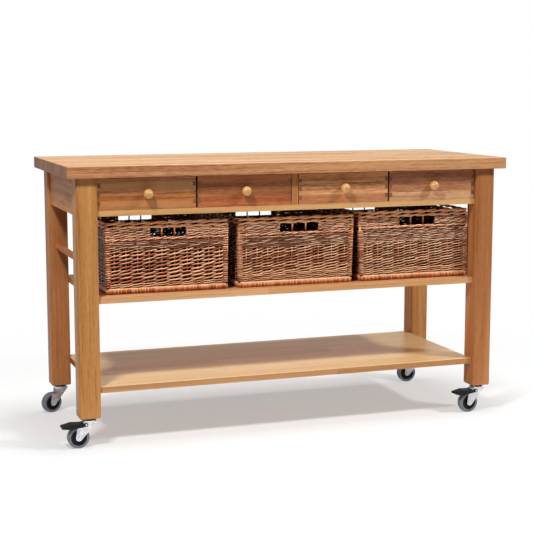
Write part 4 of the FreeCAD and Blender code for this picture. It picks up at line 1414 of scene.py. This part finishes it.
@dataclass
class Joinery:
    """The fixed wooden frame: worktop, legs, aprons, rails and shelves."""

    worktop: Hardwood = Hardwood(
        "worktop hardwood", wood_tones((202, 164, 116), (176, 134, 90), (126, 87, 55)), contrast=1.25,
        fleck=1.0, gloss=0.2, stave_width=45 * MM, stave_length=2.4, stave_shade=0.2, end_tone=0.32)
    yellow_post: Hardwood = Hardwood(
        "yellow post hardwood", wood_tones((217, 159, 97), (194, 135, 75), (157, 97, 47)), contrast=1.25,
        bands=16.0, gloss=0.2)
    red_post: Hardwood = Hardwood(
        "red post hardwood", wood_tones((200, 137, 85), (179, 115, 66), (147, 85, 44)), contrast=1.1,
        gloss=0.2)
    aprons: Hardwood = Hardwood(
        "apron hardwood", wood_tones((229, 157, 91), (205, 134, 74), (163, 96, 49)), contrast=1.2,
        bands=16.0, fleck=0.6, gloss=0.08)
    rails: Hardwood = Hardwood(
        "rail hardwood", wood_tones((232, 184, 124), (214, 162, 102), (178, 124, 70)), contrast=0.9)
    shelves: Hardwood = Hardwood(
        "shelf hardwood", wood_tones((250, 221, 174), (238, 206, 152), (208, 170, 118)), contrast=0.9,
        stave_width=85 * MM, stave_length=0.9, polish=0.8)
    pale_shelf: Hardwood = Hardwood(
        "pale shelf hardwood", wood_tones((242, 198, 146), (224, 172, 120), (190, 136, 86)), contrast=0.9,
        stave_width=85 * MM, stave_length=0.9)
    inner: Hardwood = Hardwood(
        "inner hardwood", wood_tones((222, 180, 134), (200, 152, 106), (160, 110, 70)), contrast=0.8)
    # Tones of the edges below the top face; the top faces' own lighter, greyer tones are painted light and
    # sheen from above.
    worktop_edge: Tones = wood_tones((214, 158, 110), (186, 128, 86), (134, 84, 54))
    shelf_edge: Tones = wood_tones((208, 160, 110), (189, 135, 87), (153, 101, 58))
    painted_top_depth: float = 0.8 * MM
    seed_step: float = 1.37

    def edged(self, finish: Hardwood, edge: Tones, node: str) -> Hardwood:
        """A finish whose edges, below the top face of a node, keep their own tones, while the top face's
        lighter, greyer tones are painted light and sheen from above.
        """
        return replace(finish, lower=(Board(edge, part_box(node)[1][2] - self.painted_top_depth),))

    def dress(self, shop: Shop) -> None:
        """Gives each fixed wooden piece its own cut of its finish.

        Args:
            shop: The shared node groups.
        """
        cuts = (
            ("worktop", self.edged(self.worktop, self.worktop_edge, "worktop"), Grain.ALONG_X),
            ("leg_front_left", self.yellow_post, Grain.ALONG_Z),
            ("leg_front_right", self.red_post, Grain.ALONG_Z),
            ("leg_back_left", self.red_post, Grain.ALONG_Z),
            ("leg_back_right", self.yellow_post, Grain.ALONG_Z),
            ("end_apron_left", self.aprons, Grain.ALONG_Y),
            ("end_apron_right", self.aprons, Grain.ALONG_Y),
            ("back_apron", self.aprons, Grain.ALONG_X),
            ("drawer_rail", self.rails, Grain.ALONG_X),
            ("drawer_divider", self.red_post, Grain.ALONG_Z),
            ("drawer_runners", self.inner, Grain.ALONG_Y),
            ("towel_rail", self.aprons, Grain.ALONG_Y),
            ("basket_shelf", self.pale_shelf, Grain.ALONG_X),
            ("bottom_shelf", self.edged(self.shelves, self.shelf_edge, "bottom_shelf"), Grain.ALONG_X),
            ("shelf_dowels", self.inner, Grain.ALONG_X),
        )
        for seed, (node, finish, grain) in enumerate(cuts, start=1):
            dress_node(node, finish.material(shop, node, grain, seed * self.seed_step))


class DrawerWood(Enum):
    """Woods of the drawer fronts, from the left.

    Each front is glued up of boards from the top down: the share of the front's height that lies
    below the board's upper edge, then its tones.
    """

    GOLDEN = ((1.0, wood_tones((204, 150, 98), (178, 120, 74), (126, 78, 44))),
              (0.46, wood_tones((196, 128, 66), (168, 98, 46), (120, 64, 28))),
              (0.3, wood_tones((194, 131, 79), (172, 110, 63), (132, 76, 38))))
    RED = ((1.0, wood_tones((183, 119, 73), (154, 91, 53), (103, 57, 33))),
           (0.3, wood_tones((194, 114, 68), (168, 88, 50), (124, 56, 32))))
    BROWN = ((1.0, wood_tones((236, 177, 118), (211, 150, 97), (152, 97, 57))),
             (0.3, wood_tones((206, 140, 94), (184, 116, 74), (136, 76, 44))))
    ROSE = ((1.0, wood_tones((200, 140, 98), (168, 108, 72), (110, 62, 40))),
            (0.3, wood_tones((222, 170, 126), (198, 142, 100), (146, 92, 60))))


@dataclass
class Drawer:
    """One drawer and its turned knob."""

    number: int
    seed: float
    wood: DrawerWood
    sides: Hardwood = Hardwood(
        "drawer side hardwood", wood_tones((200, 142, 94), (168, 110, 70), (112, 68, 40)))
    knob: Hardwood = Hardwood(
        "knob hardwood", wood_tones((246, 208, 146), (230, 180, 110), (190, 130, 70)), contrast=0.8,
        gloss=0.6, polish=0.55)
    seed_step: float = 0.83

    def dress(self, shop: Shop) -> None:
        """Gives the front, sides, back, bottom and knob their finishes.

        Args:
            shop: The shared node groups.
        """
        low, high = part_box(f"drawer_{self.number}_front")
        (_, upper), *lower = self.wood.value
        boards = tuple(Board(tones, low[2] + share * (high[2] - low[2])) for share, tones in lower)
        front = Hardwood("drawer hardwood", upper, contrast=1.5, bands=26.0, fleck=0.6, lower=boards)
        cuts = (
            ("front", front, Grain.ALONG_X),
            ("sides", self.sides, Grain.ALONG_Y),
            ("back", self.sides, Grain.ALONG_X),
            ("bottom", self.sides, Grain.ALONG_X),
            ("knob", self.knob, Grain.ALONG_Y),
        )
        for step, (part, finish, grain) in enumerate(cuts):
            node = f"drawer_{self.number}_{part}"
            dress_node(node, finish.material(shop, node, grain, self.seed + step * self.seed_step))


@dataclass
class Hardware:
    """Casters, brakes, brackets and screws."""

    zinc: Moulded = Moulded("bright zinc", tint(222, 224, 228), tint(184, 187, 192), smooth=0.22, dull=0.48,
                            grit=420.0, grit_depth=0.1 * MM, metallic=1.0)
    plastic: Moulded = Moulded("black plastic", tint(13, 13, 14), tint(27, 27, 28), smooth=0.4, dull=0.62,
                               grit=1400.0, grit_depth=0.2 * MM, gloss=0.2)
    rubber: Moulded = Moulded("grey rubber", tint(102, 107, 116), tint(130, 135, 144), smooth=0.55, dull=0.8,
                              grit=900.0, grit_depth=0.2 * MM)

    def dress(self, shop: Shop) -> None:
        """Gives every metal, plastic and rubber node its finish.

        Args:
            shop: The shared node groups.
        """
        zinc, plastic, rubber = (finish.material(shop) for finish in (self.zinc, self.plastic, self.rubber))
        for node in sorted(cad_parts):
            if node.endswith(("_fork", "_axle", "_brackets", "_screws")):
                dress_node(node, zinc)
            elif node.endswith(("_hub", "_brake")) or node == "caster_plates":
                dress_node(node, plastic)
            elif node.endswith("_tyre"):
                dress_node(node, rubber)


@dataclass(frozen=True)
class Lamp:
    """A square soft lamp: its place, the length of its side, and its power in watts."""

    name: str
    place: Triple
    size: float
    power: float


@dataclass
class Studio:
    """Camera, lamps, white surroundings and a pale floor that keeps the shadow."""

    lens: float = 87.49
    sensor_width: float = 36.0
    camera_place: Triple = (-1.50005, -4.2336, 1.1563)
    camera_yaw: float = math.radians(19.564)
    camera_pitch: float = math.radians(8.099)
    target: Triple = (0.0, 0.0, 0.5)
    lamps: tuple[Lamp, ...] = (
        Lamp("key_left", (-1.7, -1.8, 3.0), 0.45, 70.0),
        Lamp("key_right", (2.5, -1.8, 2.9), 0.45, 68.0),
        Lamp("top", (0.2, 0.1, 4.3), 1.6, 130.0),
    )
    white: Rgba = (1.0, 1.0, 1.0, 1.0)
    world_strength: float = 0.13
    mirrored_strength: float = 0.75
    floor_half: float = 6.0
    floor_speckle: float = 40.0
    floor_dark: Rgba = (0.93, 0.93, 0.93, 1.0)
    floor_light: Rgba = (0.95, 0.95, 0.95, 1.0)
    floor_near: float = 0.8
    floor_far: float = 1.9
    shadow_cover: float = 0.6

    def camera(self) -> None:
        """Sets the camera at the photograph's viewpoint."""
        data = bpy.data.cameras.new("camera")
        data.lens = self.lens
        data.sensor_width = self.sensor_width
        made = link_object("camera", data)
        made.location = self.camera_place
        made.rotation_euler = (QUARTER_TURN - self.camera_pitch, 0.0, -self.camera_yaw)
        bpy.context.scene.camera = made

    def light(self, lamp: Lamp) -> None:
        """Sets up a lamp that faces the cart.

        Args:
            lamp: The lamp.
        """
        data = bpy.data.lights.new(lamp.name, "AREA")
        data.size = lamp.size
        data.energy = lamp.power
        made = link_object(lamp.name, data)
        made.location = lamp.place
        made.rotation_euler = (Vector(self.target) - Vector(lamp.place)).to_track_quat("-Z", "Y").to_euler()

    def world(self) -> None:
        """White surroundings: plain light on the cart, dimmer in its gloss, and full white behind it."""
        world = bpy.data.worlds.new("white studio")
        world.use_nodes = True
        world.node_tree.nodes.clear()
        g = Graph(world.node_tree)
        path = g.add("ShaderNodeLightPath").outputs
        strength = g.calc("MULTIPLY_ADD", path["Is Glossy Ray"],
                          self.mirrored_strength - self.world_strength, self.world_strength)
        strength = g.calc("MULTIPLY_ADD", path["Is Camera Ray"], 1.0 - self.world_strength, strength)
        g.add("ShaderNodeOutputWorld", g.add("ShaderNodeBackground", self.white, strength).outputs[0])
        bpy.context.scene.world = world

    def floor(self) -> None:
        """A pale floor that fades out with distance, so that it meets the white without an edge."""
        half = self.floor_half
        mesh = bpy.data.meshes.new("floor")
        corners = [(-half, -half, 0), (half, -half, 0), (half, half, 0), (-half, half, 0)]
        mesh.from_pydata(corners, [], [(0, 1, 2, 3)])
        made = link_object("floor", mesh)
        g = Surface("pale floor")
        seen = g.add("ShaderNodeLightPath").outputs["Is Camera Ray"]
        cover = g.calc("MULTIPLY_ADD", seen, self.shadow_cover - 1.0, 1.0)
        spread = g.fade(g.vector("LENGTH", g.place), self.floor_near, self.floor_far, 1.0, 0.0)
        mesh.materials.append(g.finish({
            "Base Color": g.blend(g.noise(g.place, self.floor_speckle), self.floor_dark, self.floor_light),
            "Roughness": 0.9, "Specular IOR Level": 0.1, "Alpha": g.calc("MULTIPLY", cover, spread)}))

    def build(self) -> None:
        """Sets up the whole studio."""
        bpy.context.scene.view_settings.view_transform = "Standard"
        self.camera()
        for lamp in self.lamps:
            self.light(lamp)
        self.world()
        self.floor()


def main() -> None:
    """Dresses the cart and sets it in the studio."""
    logging.basicConfig(level=logging.INFO, format="%(name)s: %(message)s")
    shop = Shop(GrainPattern().group(), StavePattern().group(), WearPattern().group())
    Joinery().dress(shop)
    for number, wood in enumerate(DrawerWood, start=1):
        Drawer(number, DRAWER_SEED + DRAWER_SEED_STEP * number, wood).dress(shop)
    Hardware().dress(shop)
    willow = Willow().material()
    shade = Shade().material()
    for number, plan in enumerate(BASKET_PLANS, start=1):
        basket = WillowBasket(number, BASKET_SEED + number, plan)
        basket.dress(basket.build(), shade, willow)
    Studio().build()


if __name__ == "__main__":
    main()
